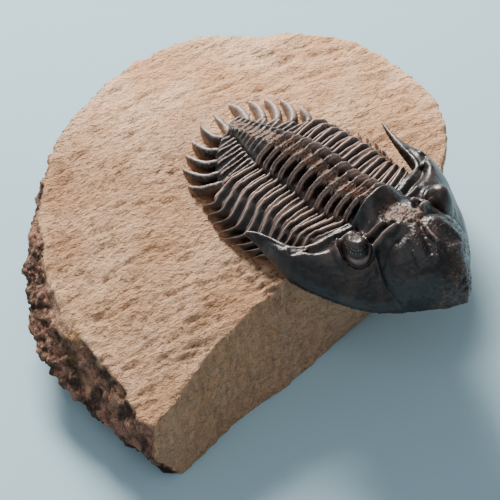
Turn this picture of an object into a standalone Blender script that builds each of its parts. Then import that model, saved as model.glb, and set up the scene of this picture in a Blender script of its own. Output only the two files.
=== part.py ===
"""A prepared trilobite fossil on its block of matrix stone, in metres, +Z up.

The animal has a head shield, eleven thoracic segments and a tail shield, each a solid of its own that
sits on the stone. Shapes are worked out in millimetres in the animal's own frame: the origin is on its
midline at the seventh ring of the axis, level with the furrows beside it, X to its right-hand side as
it is seen from above with the head towards -Y, and +Y towards the tail. PLACE carries that frame to the
part's frame, whose origin is on the table under the middle of the whole piece.
"""

import bmesh
import bpy
import numpy as np
from mathutils import Vector, noise

MM = 0.001
PLACE = Vector((10.7, -7.9, 32.0))  # the animal's origin in the part's frame, in mm
GAP = 0.3  # clearance between neighbouring solids

# Stone, in mm.
TABLE_Z = -32.0
STONE_TOP_Z = -9.0
SEAT_Z = STONE_TOP_Z + GAP  # underside of the animal's solids
STONE_CENTRE = (-8.0, 14.0)
STONE_SPOKES = 84

# Thorax, in mm.
SEGMENTS = 11
CREST_LEAD = 0.25  # how far a segment reaches behind the crest of its ring
RING_HEIGHT = 4.6
FULCRUM_X = 13.4
SPINE_ROOT_Z = (-6.0, -6.6, -7.2)  # at the first, sixth and eleventh segment
SPINE_WIDTH = 1.9

# Tail, in mm.
TAIL_RIBS = 5
TAIL_LEAN = 0.006  # sideways lean of the tail, in mm for each mm squared behind its front edge
TAIL_AXIS_END_Y = 24.9
TAIL_EDGE_THICKNESS = 1.7
BLADE_TIPS = ((15.9, 21.6), (13.9, 25.9), (11.2, 28.3), (8.0, 30.1), (4.0, 32.3))  # right-hand side
BLADE_TIP_Z = -7.7
BLADE_SEARCH = 1.5  # how far from the middle of a rib's end its wall faces are looked for
TERMINAL_ROOT = (25.9, -6.5)  # y and z of the blade behind the axis
TERMINAL_TIP = (34.4, -7.6)

# Head, in mm.
EYE = (12.2, -22.0)
EYE_RADIUS = 3.7
EYE_HEIGHT = 5.6
GENAL_TIP_Y = {-1: -0.2, 1: 2.0}  # the left genal spine is a little shorter


def between(value, places, amounts):
    """Amount at a value, by straight lines through the given places."""
    return float(np.interp(value, places, amounts))


def step(value, low, high):
    """Smooth rise from 0 at low to 1 at high."""
    t = np.clip((value - low) / (high - low), 0.0, 1.0)
    return t * t * (3.0 - 2.0 * t)


def make_material(name, colour, roughness):
    """Principled material of one colour."""
    material = bpy.data.materials.new(name)
    material.use_nodes = True
    shader = material.node_tree.nodes["Principled BSDF"]
    shader.inputs["Base Color"].default_value = (*colour, 1.0)
    shader.inputs["Roughness"].default_value = roughness
    shader.inputs["Metallic"].default_value = 0.0
    material.diffuse_color = (*colour, 1.0)
    return material


def finish(mesh, name, material, sharp_angle):
    """Turn a bmesh in millimetres into a shaded object in metres, in the part's frame."""
    bmesh.ops.recalc_face_normals(mesh, faces=mesh.faces)
    bmesh.ops.translate(mesh, vec=PLACE, verts=mesh.verts)
    bmesh.ops.scale(mesh, vec=Vector((MM, MM, MM)), verts=mesh.verts)
    data = bpy.data.meshes.new(name)
    mesh.to_mesh(data)
    mesh.free()
    data.materials.append(material)
    data.shade_smooth()
    data.set_sharp_from_angle(angle=np.radians(sharp_angle))
    thing = bpy.data.objects.new(name, data)
    bpy.context.scene.collection.objects.link(thing)
    return thing


def blanket(top, floor, row_picks, column_picks):
    """Closed bmesh with a top sheet, a coarser floor sheet and walls between them.

    top is a grid of points, [row][column]; floor has a point for each picked row and column. The walls
    on the first and the last row are split at the picked columns; it returns them as two lists of faces.
    """
    mesh = bmesh.new()
    upper = [[mesh.verts.new(point) for point in row] for row in top]
    lower = [[mesh.verts.new(point) for point in row] for row in floor]
    for i in range(len(upper) - 1):
        for j in range(len(upper[0]) - 1):
            mesh.faces.new((upper[i][j], upper[i][j + 1], upper[i + 1][j + 1], upper[i + 1][j]))
    for i in range(len(lower) - 1):
        for j in range(len(lower[0]) - 1):
            mesh.faces.new((lower[i][j], lower[i + 1][j], lower[i + 1][j + 1], lower[i][j + 1]))
    for edge in (0, -1):
        for i in range(len(row_picks) - 1):
            side = [upper[r][edge] for r in range(row_picks[i], row_picks[i + 1] + 1)]
            mesh.faces.new(side + [lower[i + 1][edge], lower[i][edge]])
    ends = []
    for edge in (0, -1):
        walls = []
        for j in range(len(column_picks) - 1):
            side = [upper[edge][c] for c in range(column_picks[j], column_picks[j + 1] + 1)]
            walls.append(mesh.faces.new(side + [lower[edge][j + 1], lower[edge][j]]))
        ends.append(walls)
    return mesh, ends[0], ends[1]


def grow_spine(mesh, faces, path, widths, heights, across):
    """Extrude wall faces along a path of points, so that they narrow to the last width and height."""
    corners = {vert for face in faces for vert in face.verts}
    centre = sum((vert.co for vert in corners), Vector()) / len(corners)
    side = Vector(across).normalized()
    first = [abs((vert.co - centre).dot(side)) for vert in corners]
    tall = [abs((vert.co - centre).z) for vert in corners]
    width, height = 2.0 * max(first), 2.0 * max(tall)
    for point, new_width, new_height in zip(path, widths, heights):
        out = bmesh.ops.extrude_face_region(mesh, geom=faces)["geom"]
        bmesh.ops.delete(mesh, geom=faces, context="FACES_ONLY")
        faces = [item for item in out if isinstance(item, bmesh.types.BMFace)]
        moved = [item for item in out if isinstance(item, bmesh.types.BMVert)]
        for vert in moved:
            offset = vert.co - centre
            along = side * offset.dot(side) * (new_width / width)
            vert.co = Vector(point) + along + Vector((0.0, 0.0, offset.z * new_height / height))
            vert.co.z = max(vert.co.z, SEAT_Z)
        centre, width, height = Vector(point), new_width, new_height


# ---------------------------------------------------------------------------------------- the thorax

RING_Y = (-15.8, -13.1, -10.6, -8.1, -5.4, -2.7, 0.0, 2.6, 5.2, 7.6, 9.9, 12.2)  # crest of each ring


def furrow_z(y):
    """Height of the furrow beside the axis."""
    heights = (2.2, 1.4, 0.2, -0.5, 0.0, -0.5, -1.7, -2.2, -4.1)
    return between(y, (-16, -13, -10, -6, 0, 5, 10, 13, 25), heights)


def axis_half_width(y):
    """Half the width of the axis."""
    return between(y, (-16, -10, -4, 0, 6, 12.5, 20, 25), (5.7, 6.35, 6.4, 6.2, 6.0, 5.0, 3.1, 1.6))


def ring_height(y):
    """Height of the axis over its furrows."""
    return between(y, (-16, 6, 12, 18, 25), (RING_HEIGHT + 0.2, RING_HEIGHT, 4.1, 3.2, 1.6))


def fulcrum_x(number):
    """Where the pleurae of a segment turn down."""
    return FULCRUM_X - between(number, (0, 3, 6, 11), (0.7, 0.0, 0.0, 1.0))


def joint_y(number, side):
    """Y of the joint behind segment number, and behind the head for 0, at a distance from the midline."""
    y = RING_Y[number] + CREST_LEAD
    axis = axis_half_width(y)
    if side < axis:
        return y - 0.5 * (1 - (side / axis) ** 2)
    out = (side - axis) / (fulcrum_x(number) - axis)
    return y + between(number, (0, 5, 8, 11), (2.6, 0.2, 0.4, 1.2)) * out**1.5


def make_segment(number, material):
    """One thoracic segment: a ring of the axis, two ridged pleurae and their spines."""
    middle = 0.5 * (RING_Y[number - 1] + RING_Y[number]) + CREST_LEAD
    axis, low, tall = axis_half_width(middle), furrow_z(middle), ring_height(middle)
    fulcrum = fulcrum_x(number)
    tip = (
        between(number, (1, 2, 4, 6, 8, 11), (16.2, 17.3, 19.2, 20.0, 19.4, 16.8)),
        between(number, (1, 2, 4, 6, 8, 11), (-9.4, -6.8, -1.6, 4.0, 8.8, 16.2)),
        between(number, (1, 3, 6, 11), (-7.6, -7.0, -6.8, -7.6)),
    )
    # Each station: distance from the midline, height, share of the ring's rise, share of the ridges.
    stations = [(share * axis, low, (1 - share**2.6) ** 0.6, 0.0) for share in (0.0, 0.4, 0.75)]
    stations += [
        (axis, low, 0.0, 0.6),
        (0.5 * (axis + fulcrum), low + 0.1, 0.0, 1.0),
        (fulcrum, low - 1.0, 0.0, 1.0),
        (fulcrum + 1.2, low - 3.4, 0.0, 0.7),
    ]
    # Rows run from front to back: edge, front ridge, furrow, rear ridge, edge.
    shares = (0.0, 0.32, 0.56, 0.88, 1.0)
    ring_profile = (0.60, 0.78, 0.90, 1.0, 0.94)
    ridge_profile = (-0.35, 0.30, -0.45, 0.42, 0.0)
    half = []
    for side, z, rise, ridges in stations:
        front, back = joint_y(number - 1, side) + GAP, joint_y(number, side)
        half.append(
            [
                (side, front + (back - front) * share, z + tall * rise * ring + ridges * ridge)
                for share, ring, ridge in zip(shares, ring_profile, ridge_profile)
            ]
        )
    root_x = fulcrum + 2.0
    front, back = joint_y(number - 1, root_x) + GAP, joint_y(number, root_x)
    width = min(SPINE_WIDTH, back - front)
    root = (root_x, 0.5 * (front + back), between(number, (1, 6, 11), SPINE_ROOT_Z))
    bend = (0.45 * root[0] + 0.55 * tip[0], 0.65 * root[1] + 0.35 * tip[1], 0.5 * (root[2] + tip[2]) + 0.3)
    for (x, y, z), share_of_width, ridges in ((root, 1.0, 0.5), (bend, 0.75, 0.4), (tip, 0.25, 0.0)):
        reach = 0.5 * width * share_of_width
        line = []
        for share, ridge in zip(shares, ridge_profile):
            line.append((x, y + reach * (2 * share - 1), z + ridges * ridge))
        half.append(line)
    columns = [[(-x, y, z) for x, y, z in column] for column in reversed(half[1:])] + half
    top = [[column[row] for column in columns] for row in range(len(shares))]
    # The underside rests on the stone up to the root of the spines, which stand clear of it.
    thin = {0: 0.7, 1: 1.3, 2: 1.7}
    floor = []
    for row in (0, -1):
        line = []
        for j, column in enumerate(columns):
            outward = min(j, len(columns) - 1 - j)
            x, y, z = column[row]
            under = max(SEAT_Z, z - thin[outward]) if outward in thin else SEAT_Z
            line.append((x, y, under))
        floor.append(line)
    mesh, _, _ = blanket(top, floor, (0, len(shares) - 1), list(range(len(columns))))
    return finish(mesh, f"thoracic_segment_{number:02d}", material, 32)


# ------------------------------------------------------------------------------------------ the tail


def lean(x, y):
    """Sideways place of a point of the tail."""
    return x + TAIL_LEAN * max(0.0, y - RING_Y[-1]) ** 2


def tail_margin(share):
    """Right-hand margin of the tail without its spines: share 0 is its front corner, 1 its rear end."""
    return (
        between(share, (0, 0.12, 0.3, 0.5, 0.7, 0.88, 1), (13.4, 12.4, 10.7, 8.7, 6.3, 3.5, 1.3)),
        between(share, (0, 0.12, 0.3, 0.5, 0.7, 0.88, 1), (14.2, 15.2, 18.1, 20.9, 23.2, 24.9, 25.9)),
        between(share, (0, 0.3, 1), (-4.6, -6.2, -6.4)),
    )


def make_tail(material):
    """Tail shield: tapering axis, five pairs of ribs that run out into blades, and a blade behind."""
    front = RING_Y[-1] + CREST_LEAD
    rows = [(0.0, 0.0, -0.2)]  # share of the margin, place along the axis, height of the rib
    rib = 0.94 / TAIL_RIBS
    for number in range(TAIL_RIBS):
        for part, height in ((0.12, -0.25), (0.5, 0.5), (0.9, -0.25)):
            share = rib * (number + part)
            rows.append((share, share**0.92, height))
    rows.append((1.0, 1.0, 0.0))
    blend = (0.0, 0.45, 0.78, 1.0, 1.25, 1.55, 1.82, 2.0)  # 1 is the furrow beside the axis, 2 the margin
    last = 2 * len(blend) - 2
    floor_columns = [0, 2, 5, 7, 9, 12, last]
    top, floor = [], []
    for share, along, height in rows:
        axis_y = front + (TAIL_AXIS_END_Y - front) * along
        axis, low, tall = axis_half_width(axis_y), furrow_z(axis_y), ring_height(axis_y)
        edge = tail_margin(share)
        half = []
        for place in blend:
            if place <= 1.0:
                x, y = place * axis, axis_y - 0.4 * (1 - place**2)
                z = low + (tall + 0.6 * height) * (1 - place**2.4) ** 0.6 if place < 1.0 else low
            else:
                t = place - 1.0
                x = axis + (edge[0] - axis) * t
                y = axis_y + (edge[1] - axis_y) * t**1.4
                z = low + (edge[2] - low) * t**2.0 + height * min(1.0, 3 * t)
            half.append((x, y, z))
        line = [(-x, y, z) for x, y, z in reversed(half[1:])] + half
        line = [(lean(x, y), y, z) for x, y, z in line]
        top.append(line)
        under = {j: SEAT_Z for j in floor_columns[1:-1]}
        under[0] = under[last] = edge[2] - TAIL_EDGE_THICKNESS
        floor.append([(*line[j][:2], under[j]) for j in floor_columns])
    mesh, _, rear = blanket(top, floor, range(len(rows)), floor_columns)
    for side in (-1, 1):
        for number, (tip_x, tip_y) in enumerate(BLADE_TIPS):
            ends = [Vector(tail_margin(rib * (number + part))) for part in (0.12, 0.5, 0.9)]
            for end in ends:
                end.x = lean(side * end.x, end.y)
            middle = ends[1]
            root = middle - Vector((0.0, 0.0, 0.5 * TAIL_EDGE_THICKNESS))
            walls = [
                face
                for face in mesh.faces
                if len(face.verts) == 4
                and (face.calc_center_median() - root).length < BLADE_SEARCH
                and all(min((vert.co.xy - end.xy).length for end in ends) < 0.01 for vert in face.verts)
            ]
            tip = Vector((lean(side * tip_x, tip_y), tip_y, BLADE_TIP_Z))
            out = (ends[2] - ends[0]).cross(Vector((0, 0, side))).normalized()
            bend = middle + out * 0.45 * (tip - middle).length
            path = []
            for t in (0.3, 0.6, 0.85, 1.0):
                point = middle * (1 - t) ** 2 + bend * 2 * t * (1 - t) + tip * t * t
                point.z = root.z + (tip.z + 0.3 - root.z) * t
                path.append(point)
            grow_spine(mesh, walls, path, (2.4, 2.0, 1.2, 0.4), (1.7, 1.5, 1.1, 0.5), ends[2] - ends[0])
    root = Vector((lean(0.0, TERMINAL_ROOT[0]), *TERMINAL_ROOT))
    tip = Vector((lean(0.0, TERMINAL_TIP[0]), *TERMINAL_TIP))
    path = [root.lerp(tip, t) for t in (0.35, 0.7, 1.0)]
    grow_spine(mesh, rear, path, (2.6, 1.9, 0.5), (1.8, 1.4, 0.5), (1, 0, 0))
    return finish(mesh, "pygidium", material, 32)


# ------------------------------------------------------------------------------------------ the head

# Right-hand margin from the genal corner forwards to the tip: x, y and height.
HEAD_MARGIN = (
    (21.3, -10.2, -3.2), (21.2, -13.0, -3.7), (20.5, -16.0, -4.2), (18.7, -20.2, -4.9),
    (16.5, -24.8, -5.7), (13.0, -29.8, -6.2), (9.5, -33.3, -6.2), (6.0, -36.8, -5.5),
    (2.8, -40.0, -4.4), (0.0, -41.9, -3.6),
)


def head_margin(share):
    """Point of the margin: share 0 is the genal corner, 1 is the tip in front."""
    places = np.linspace(0.0, 1.0, len(HEAD_MARGIN))
    return tuple(between(share, places, [point[axis] for point in HEAD_MARGIN]) for axis in range(3))


MARGIN_LINE = [head_margin(share) for share in np.linspace(0.0, 1.0, 61)]
MARGIN_LINE += [(-x, y, z) for x, y, z in reversed(MARGIN_LINE[:-1])]
MARGIN_LINE = np.array(MARGIN_LINE)


def head_height(x, y):
    """Height of the head shield over a point of its plan."""
    away = np.hypot(MARGIN_LINE[:, 0] - x, MARGIN_LINE[:, 1] - y)
    nearest = int(np.argmin(away))
    inside, rim = away[nearest], MARGIN_LINE[nearest, 2]
    side = abs(x)
    # Cheeks rise from the margin; their rear border falls towards the genal corner.
    cheek = rim + 9.4 * (1 - np.exp(-inside / 3.6))
    cheek -= 1.3 * step(y, -17.0, -12.5)
    # The glabella swells forwards into the frontal lobe.
    lobe = between(y, (-43, -36, -31, -26, -22, -16), (10.0, 12.2, 11.6, 8.6, 6.6, 6.0))
    swell = between(y, (-43, -33, -26, -20, -16), (4.6, 5.2, 5.6, 5.4, 5.2))
    height = cheek + swell * step(lobe - side, -0.8, 4.2) * (1 - np.exp(-inside / 3.0))
    # Furrows: beside the glabella, across it behind its lobes, and in front of the occipital ring.
    height -= 1.1 * np.exp(-(((side - lobe) / 1.0) ** 2)) * step(y, -33.0, -27.0)
    across = step(lobe - side, 0.0, 2.0)
    height -= 0.9 * across * np.exp(-(((y + 18.6) / 0.7) ** 2))
    height -= 0.8 * across * step(side, 1.0, 4.0) * np.exp(-(((y + 23.3 + 0.25 * side) / 0.9) ** 2))
    height -= 0.6 * across * step(side, 2.0, 5.0) * np.exp(-(((y + 27.4 + 0.3 * side) / 0.9) ** 2))
    # The eye stands up like a turret, its lid highest on the inner side.
    reach = np.hypot(side - EYE[0], (y - EYE[1]) / 1.15)
    turret = EYE_HEIGHT * (1 - step(reach, EYE_RADIUS - 1.6, EYE_RADIUS + 1.2))
    lid = 0.12 * (EYE[0] - side)
    hollow = (1 - step(reach, 0.0, 2.2)) * step(side, EYE[0] - 1.5, EYE[0] + 1.5)
    return height + turret * (1 + lid) - hollow


def make_head(material):
    """Head shield: glabella, two turret eyes, cheeks and a long genal spine at each rear corner."""
    shares = np.linspace(0.0, 1.0, 25)
    rear_y = RING_Y[0] + CREST_LEAD
    columns = np.linspace(-1.0, 1.0, 33)
    top = []
    for share in shares:
        edge = head_margin(share * 2 / 3)
        middle_y = rear_y + (HEAD_MARGIN[-1][1] - rear_y) * share
        line = []
        for u in columns:
            side = abs(u)
            x = u * edge[0]
            y = middle_y + (edge[1] - middle_y) * side ** (1.6 - 0.45 * share)
            if share == 0.0:
                y = joint_y(0, abs(x)) if side < 1.0 else edge[1]
            if share == 1.0:
                ahead = head_margin(1 - side / 3)
                x, y = np.copysign(ahead[0], u), ahead[1]
                z = ahead[2]
            elif side == 1.0:
                z = edge[2]
            else:
                z = head_height(x, y)
            line.append((x, y, z))
        top.append(line)
    row_picks = list(range(0, len(shares), 2))
    column_picks = [0, 3, 5, 7, 11, 13, 16, 19, 21, 25, 27, 29, 32]
    floor = []
    for i in row_picks:
        inset = (1.0 - 0.05 * step(shares[i], 0.0, 0.25)) * (1.0 - 0.22 * shares[i] ** 3)
        line = []
        for j in column_picks:
            x, y, z = top[i][j]
            if j in (0, len(columns) - 1) or i == len(shares) - 1:
                point = (x * 0.95, y + 1.0 * shares[i], z - 0.8)
            elif j in (3, len(columns) - 4):
                point = (x * inset, y + 3.0 * shares[i] ** 3, max(SEAT_Z, top[i][0][2] - 2.4))
            else:
                point = (x * inset, y + 3.0 * shares[i] ** 3, max(SEAT_Z, -7.4 - 1.3 * (1 - shares[i])))
            line.append(point)
        floor.append(line)
    mesh, rear, _ = blanket(top, floor, row_picks, column_picks)
    for side, wall in ((-1, rear[0]), (1, rear[-1])):
        tip_y = GENAL_TIP_Y[side]
        path = [(side * 20.2, -7.6, -3.2), (side * 20.9, -4.6, -2.6), (side * 20.9, tip_y - 2.6, -1.9)]
        path.append((side * 20.4, tip_y, -1.2))
        grow_spine(mesh, [wall], path, (3.6, 2.7, 1.7, 0.45), (2.2, 1.8, 1.4, 0.5), (1, 0, 0))
    return finish(mesh, "cephalon", material, 32)


# ----------------------------------------------------------------------------------------- the stone

# Upper edge of the block, anticlockwise from the right: x, y and height.
UPPER_EDGE = (
    (38.6, 1.8, -9.2), (40.5, 8.0, -9.2), (41.0, 19.5, -9.4), (40.4, 27.7, -9.6), (35.2, 36.0, -10.0),
    (30.6, 41.6, -10.0), (25.2, 45.2, -10.2), (21.4, 49.8, -10.4), (18.4, 53.2, -10.6),
    (11.4, 55.4, -10.8), (2.8, 57.8, -11.0), (-7.6, 57.2, -11.4), (-13.8, 56.0, -11.6),
    (-20.0, 54.4, -12.0), (-25.6, 51.9, -12.4), (-31.0, 47.6, -12.8), (-36.0, 43.6, -13.2),
    (-41.0, 39.2, -13.4), (-45.6, 33.6, -13.8), (-49.8, 24.6, -14.0), (-54.0, 15.0, -14.0),
    (-55.4, 8.0, -14.0), (-57.6, -4.6, -14.2), (-60.6, -11.0, -14.6), (-65.0, -16.4, -16.0),
    (-52.3, -14.9, -13.4), (-42.7, -11.4, -11.6), (-29.4, -10.5, -10.0), (-17.7, -9.7, -9.2),
    (-13.0, -15.5, -9.2), (-8.0, -21.0, -9.2), (0.0, -23.5, -9.2), (8.0, -21.0, -9.2),
    (15.0, -15.5, -9.2), (24.9, -11.4, -9.2), (30.4, -7.3, -9.2), (34.9, -3.0, -9.2),
)
# The line where the sides stand out furthest: its height falls towards the front left corner.
BULGE = (
    (38.6, 3.0, -20.0), (40.6, 13.0, -20.0), (40.0, 27.8, -20.0), (34.6, 36.0, -20.0),
    (30.0, 41.2, -20.0), (18.0, 52.6, -20.0), (2.8, 57.6, -20.0), (-7.6, 57.0, -19.0),
    (-20.0, 55.0, -18.0), (-30.4, 50.6, -18.0), (-35.6, 47.2, -18.0), (-46.0, 39.0, -18.0),
    (-52.0, 31.6, -19.0), (-57.6, 25.0, -22.0), (-60.8, 18.0, -22.5), (-61.4, 11.6, -24.0),
    (-62.0, 0.6, -25.0), (-62.4, -8.6, -24.0), (-63.0, -17.4, -22.0), (-55.0, -16.8, -22.0),
    (-44.0, -15.0, -21.0), (-30.0, -14.0, -20.0), (-17.7, -13.4, -20.0), (-12.0, -15.5, -19.0),
    (-7.0, -18.5, -18.0), (0.0, -20.0, -17.0), (8.0, -18.5, -18.0), (15.0, -15.0, -19.0),
    (24.5, -11.5, -20.0), (34.4, -3.6, -20.0),
)
# The foot of the block on the table.
FOOT = (
    (37.0, 3.0), (38.6, 13.0), (38.4, 26.6), (33.0, 35.0), (28.4, 39.6), (17.0, 50.4), (2.8, 55.4),
    (-7.0, 55.0), (-18.0, 52.6), (-25.0, 49.6), (-31.6, 45.0), (-40.0, 37.5), (-45.4, 30.4),
    (-50.0, 22.0), (-53.0, 13.0), (-54.8, 2.0), (-56.6, -8.0), (-58.0, -17.8), (-51.8, -18.0),
    (-43.7, -16.4), (-34.3, -15.6), (-26.6, -16.2), (-19.6, -16.0), (-5.8, -14.6), (3.0, -14.1),
    (13.0, -12.8), (23.0, -10.0), (32.6, -2.8),
)


def edge_at(angle, corners):
    """Point of a closed outline in one direction from the middle of the stone."""
    centre = np.array(STONE_CENTRE)
    plan = np.array([corner[:2] for corner in corners]) - centre
    turns = np.unwrap(np.arctan2(plan[:, 1], plan[:, 0]))
    values = np.column_stack([plan, [corner[2:] or (0.0,) for corner in corners]])
    turns = np.concatenate([turns - 2 * np.pi, turns, turns + 2 * np.pi])
    values = np.vstack([values] * 3)
    found = [between(angle, turns, values[:, axis]) for axis in range(3)]
    return centre[0] + found[0], centre[1] + found[1], found[2]


def rough(point, scale, seed):
    """Roughness of the stone at a point, between -1 and 1."""
    return noise.fractal(Vector(point) * scale + Vector((seed, 0.0, 0.0)), 1.0, 2.1, 3)


def make_stone(material):
    """Block of matrix: a nearly flat top with the animal's seat, a broken side and a flat underside."""
    middle = Vector((*STONE_CENTRE, STONE_TOP_Z))
    loops = []
    for number in range(STONE_SPOKES):
        angle = -np.pi + 2 * np.pi * number / STONE_SPOKES
        rim = Vector(edge_at(angle, UPPER_EDGE))
        bulge = Vector(edge_at(angle, BULGE))
        foot = Vector((*edge_at(angle, FOOT)[:2], TABLE_Z))
        spoke = []
        for share in (0.18, 0.36, 0.52, 0.66, 0.78, 0.88, 0.95):
            point = middle.lerp(rim, share)
            fall = step(share, 0.45, 1.0)
            point.z = STONE_TOP_Z + (rim.z - STONE_TOP_Z) * fall
            point.z -= 0.45 * abs(rough(point, 0.09, 3.0)) * (0.4 + fall)
            spoke.append(point)
        rim.z -= 0.5 * abs(rough(rim, 0.15, 3.0))
        spoke.append(rim)
        walls = [rim.lerp(bulge, 0.5), bulge, bulge.lerp(foot, 0.5)]
        for place, point in enumerate(walls):
            inward = Vector((middle.x - point.x, middle.y - point.y, 0.0)).normalized()
            point += inward * (0.25 + 0.9 * abs(rough(point, 0.16, 7.0 + place)))
            point.z += 0.8 * rough(point, 0.2, 11.0)
        spoke += walls + [foot.lerp(bulge, 0.06), foot]
        spoke[-2].z = TABLE_Z + 0.8
        loops.append(spoke)
    mesh = bmesh.new()
    crown = mesh.verts.new(middle)
    grid = [[mesh.verts.new(point) for point in spoke] for spoke in loops]
    for here, after in zip(grid, grid[1:] + grid[:1]):
        mesh.faces.new((crown, here[0], after[0]))
        for k in range(len(here) - 1):
            mesh.faces.new((here[k], here[k + 1], after[k + 1], after[k]))
    mesh.faces.new([spoke[-1] for spoke in reversed(grid)])
    return finish(mesh, "matrix_stone", material, 40)


def main():
    for thing in list(bpy.data.objects):
        bpy.data.objects.remove(thing, do_unlink=True)
    stone = make_material("sandy_stone", (0.50, 0.35, 0.23), 0.92)
    shell = make_material("dark_shell", (0.035, 0.027, 0.024), 0.38)
    make_stone(stone)
    make_head(shell)
    for number in range(1, SEGMENTS + 1):
        make_segment(number, shell)
    make_tail(shell)


main()
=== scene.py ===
"""Looks of a prepared trilobite fossil on its block of matrix stone.

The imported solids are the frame. Each of them is replaced by a finely shaped piece in the same place: the
stone, the head shield with its eyes, eleven thoracic segments and the tail shield. Shapes are worked out in
millimetres in the animal's own frame: its origin is on the midline at the seventh ring of the axis, level
with the furrows beside it, X to its right-hand side as seen from above with the head towards -Y, and +Y
towards the tail.
"""

from __future__ import annotations

import logging
import math
from dataclasses import dataclass, field, replace
from enum import Enum, IntEnum
from functools import reduce
from itertools import product
from typing import Callable, ClassVar, Sequence

import bpy
import numpy as np
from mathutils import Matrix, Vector


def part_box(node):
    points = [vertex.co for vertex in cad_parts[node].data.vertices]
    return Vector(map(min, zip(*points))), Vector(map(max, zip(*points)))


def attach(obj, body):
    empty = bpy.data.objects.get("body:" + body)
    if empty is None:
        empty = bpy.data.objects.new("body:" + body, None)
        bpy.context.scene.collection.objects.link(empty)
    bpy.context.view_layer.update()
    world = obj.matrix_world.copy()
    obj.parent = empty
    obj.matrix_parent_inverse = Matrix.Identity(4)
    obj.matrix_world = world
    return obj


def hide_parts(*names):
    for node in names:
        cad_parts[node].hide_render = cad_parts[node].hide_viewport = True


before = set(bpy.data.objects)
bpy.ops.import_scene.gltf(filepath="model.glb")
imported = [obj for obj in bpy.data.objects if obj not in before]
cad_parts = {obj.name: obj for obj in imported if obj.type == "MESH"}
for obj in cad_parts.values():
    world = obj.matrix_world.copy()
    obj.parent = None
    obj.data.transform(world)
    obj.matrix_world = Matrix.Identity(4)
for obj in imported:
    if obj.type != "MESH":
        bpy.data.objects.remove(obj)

LOG = logging.getLogger("trilobite")
MM = 0.001
BODY = "root"
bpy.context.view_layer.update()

Points = np.ndarray
Shape = Callable[[Points, Points], Points]
Socket = bpy.types.NodeSocket


class Slot(Enum):
    """The record's material slots."""

    STONE = "sandy_stone"
    SHELL = "dark_shell"


class Seed(IntEnum):
    """Which noise or pattern of blocks each effect uses."""

    SEGMENT_GRAIN = 20  # plus the number of the segment
    SEGMENT_DRIFT = 31  # plus the axis
    TAIL_GRAIN = 41
    TUBERCLES = 51
    PATCH_ROUGH = 52
    HEAD_GRAIN = 53
    HEAD_SWELL = 54
    CHIN_ROUGH = 55
    SHARD_DRIFT = 56
    SHARDS = 57
    PATCH_EDGE = 58
    LID_EDGE = 59
    GRANULES = 60  # plus the number of the segment
    CHIN_WEAR = 61
    AXIS_WEAR = 71
    AXIS_TOP = 72
    DUST_EDGE = 77
    TOOL_MARKS = 81
    PITS = 82
    SWELL = 83
    BROKEN_BLOCKS = 84
    BROKEN_CHIPS = 85
    SIDE_COARSE = 86
    CRUST_EDGE = 87
    OCHRE_EDGE = 88
    NEAR_CRUMBS = 89
    BROKEN_ROUGH = 90
    SIDE_FINE = 91
    TOP_EDGE = 92
    NEAR_EDGE = 93


# ------------------------------------------------------------------------------------- numbers to shapes


def curve(value: Points, places: Sequence[float], amounts: Sequence[float]) -> Points:
    """Read a smooth curve that runs through given points without overshooting them.

    Args:
        value: Where to read the curve.
        places: Rising places of its points.
        amounts: The amount at each place.

    Returns:
        The amount at each value; it stays level beyond both ends.
    """
    at = np.asarray(places, float)
    level = np.asarray(amounts, float)
    widths = np.diff(at)
    slopes = np.diff(level) / widths
    pairs = slopes[:-1] * slopes[1:]
    total = slopes[:-1] + slopes[1:]
    inner = np.where(pairs > 0, 2 * pairs / np.where(total == 0, 1, total), 0)
    tangents = np.concatenate([slopes[:1], inner, slopes[-1:]])
    k = np.clip(np.searchsorted(at, value, side="right") - 1, 0, len(widths) - 1)
    t = np.clip((value - at[k]) / widths[k], 0, 1)
    rise = t * t * (3 - 2 * t)
    bend = widths[k] * (tangents[k] * t * (1 - t) ** 2 - tangents[k + 1] * t * t * (1 - t))
    return level[k] + (level[k + 1] - level[k]) * rise + bend


def step(value: Points, low: float, high: float) -> Points:
    """Rise smoothly from 0 at low to 1 at high."""
    t = np.clip((value - low) / (high - low), 0, 1)
    return t * t * (3 - 2 * t)


def bump(value: Points, centre: Points | float, before: float, after: float) -> Points:
    """Bell of height 1 whose two sides have their own widths."""
    away = value - centre
    return np.exp(-((away / np.where(away < 0, before, after)) ** 2))


def roll(value: Points, centre: Points | float, half: float) -> Points:
    """Flat-topped bar of height 1 with rounded sides."""
    return np.exp(-np.abs((value - centre) / half) ** 3.0)


def mix(first: Points, second: Points, share: Points) -> Points:
    """Go from first to second as share goes from 0 to 1."""
    return first + (second - first) * share


def hashed(cells: Points, seed: int) -> Points:
    """Work out a steady random number for each cell.

    Args:
        cells: Rows of three whole numbers.
        seed: Which numbers.

    Returns:
        A number from 0 to 1 for each row.
    """
    mixed = cells @ np.array((73856093, 19349663, 83492791), np.int64) + seed * 40503
    mixed = ((mixed ^ (mixed >> 13)) * 1274126177) & 0xFFFFFFFF
    mixed = ((mixed ^ (mixed >> 15)) * 2246822519) & 0xFFFFFFFF
    return (mixed ^ (mixed >> 16)) / 0xFFFFFFFF


def noise(points: Points, size: float | Sequence[float], octaves: int, seed: int) -> Points:
    """Smooth noise in space.

    Args:
        points: Rows of x, y, z.
        size: Size of its largest features, one number or one for each axis.
        octaves: How many times half-sized features are added at half the height.
        seed: Which noise.

    Returns:
        A value for each point, about -1 to 1.
    """
    total = np.zeros(len(points))
    scaled = points / np.asarray(size, float)
    for octave in range(octaves):
        cell = np.floor(scaled).astype(np.int64)
        local = scaled - cell
        local = local * local * (3 - 2 * local)
        for corner in product((0, 1), repeat=3):
            weight = np.prod(np.where(corner, local, 1 - local), axis=1)
            total += weight * (2 * hashed(cell + corner, seed + octave) - 1) * 0.5**octave
        scaled = scaled * 2.03 + 17.7
    return total


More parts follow.
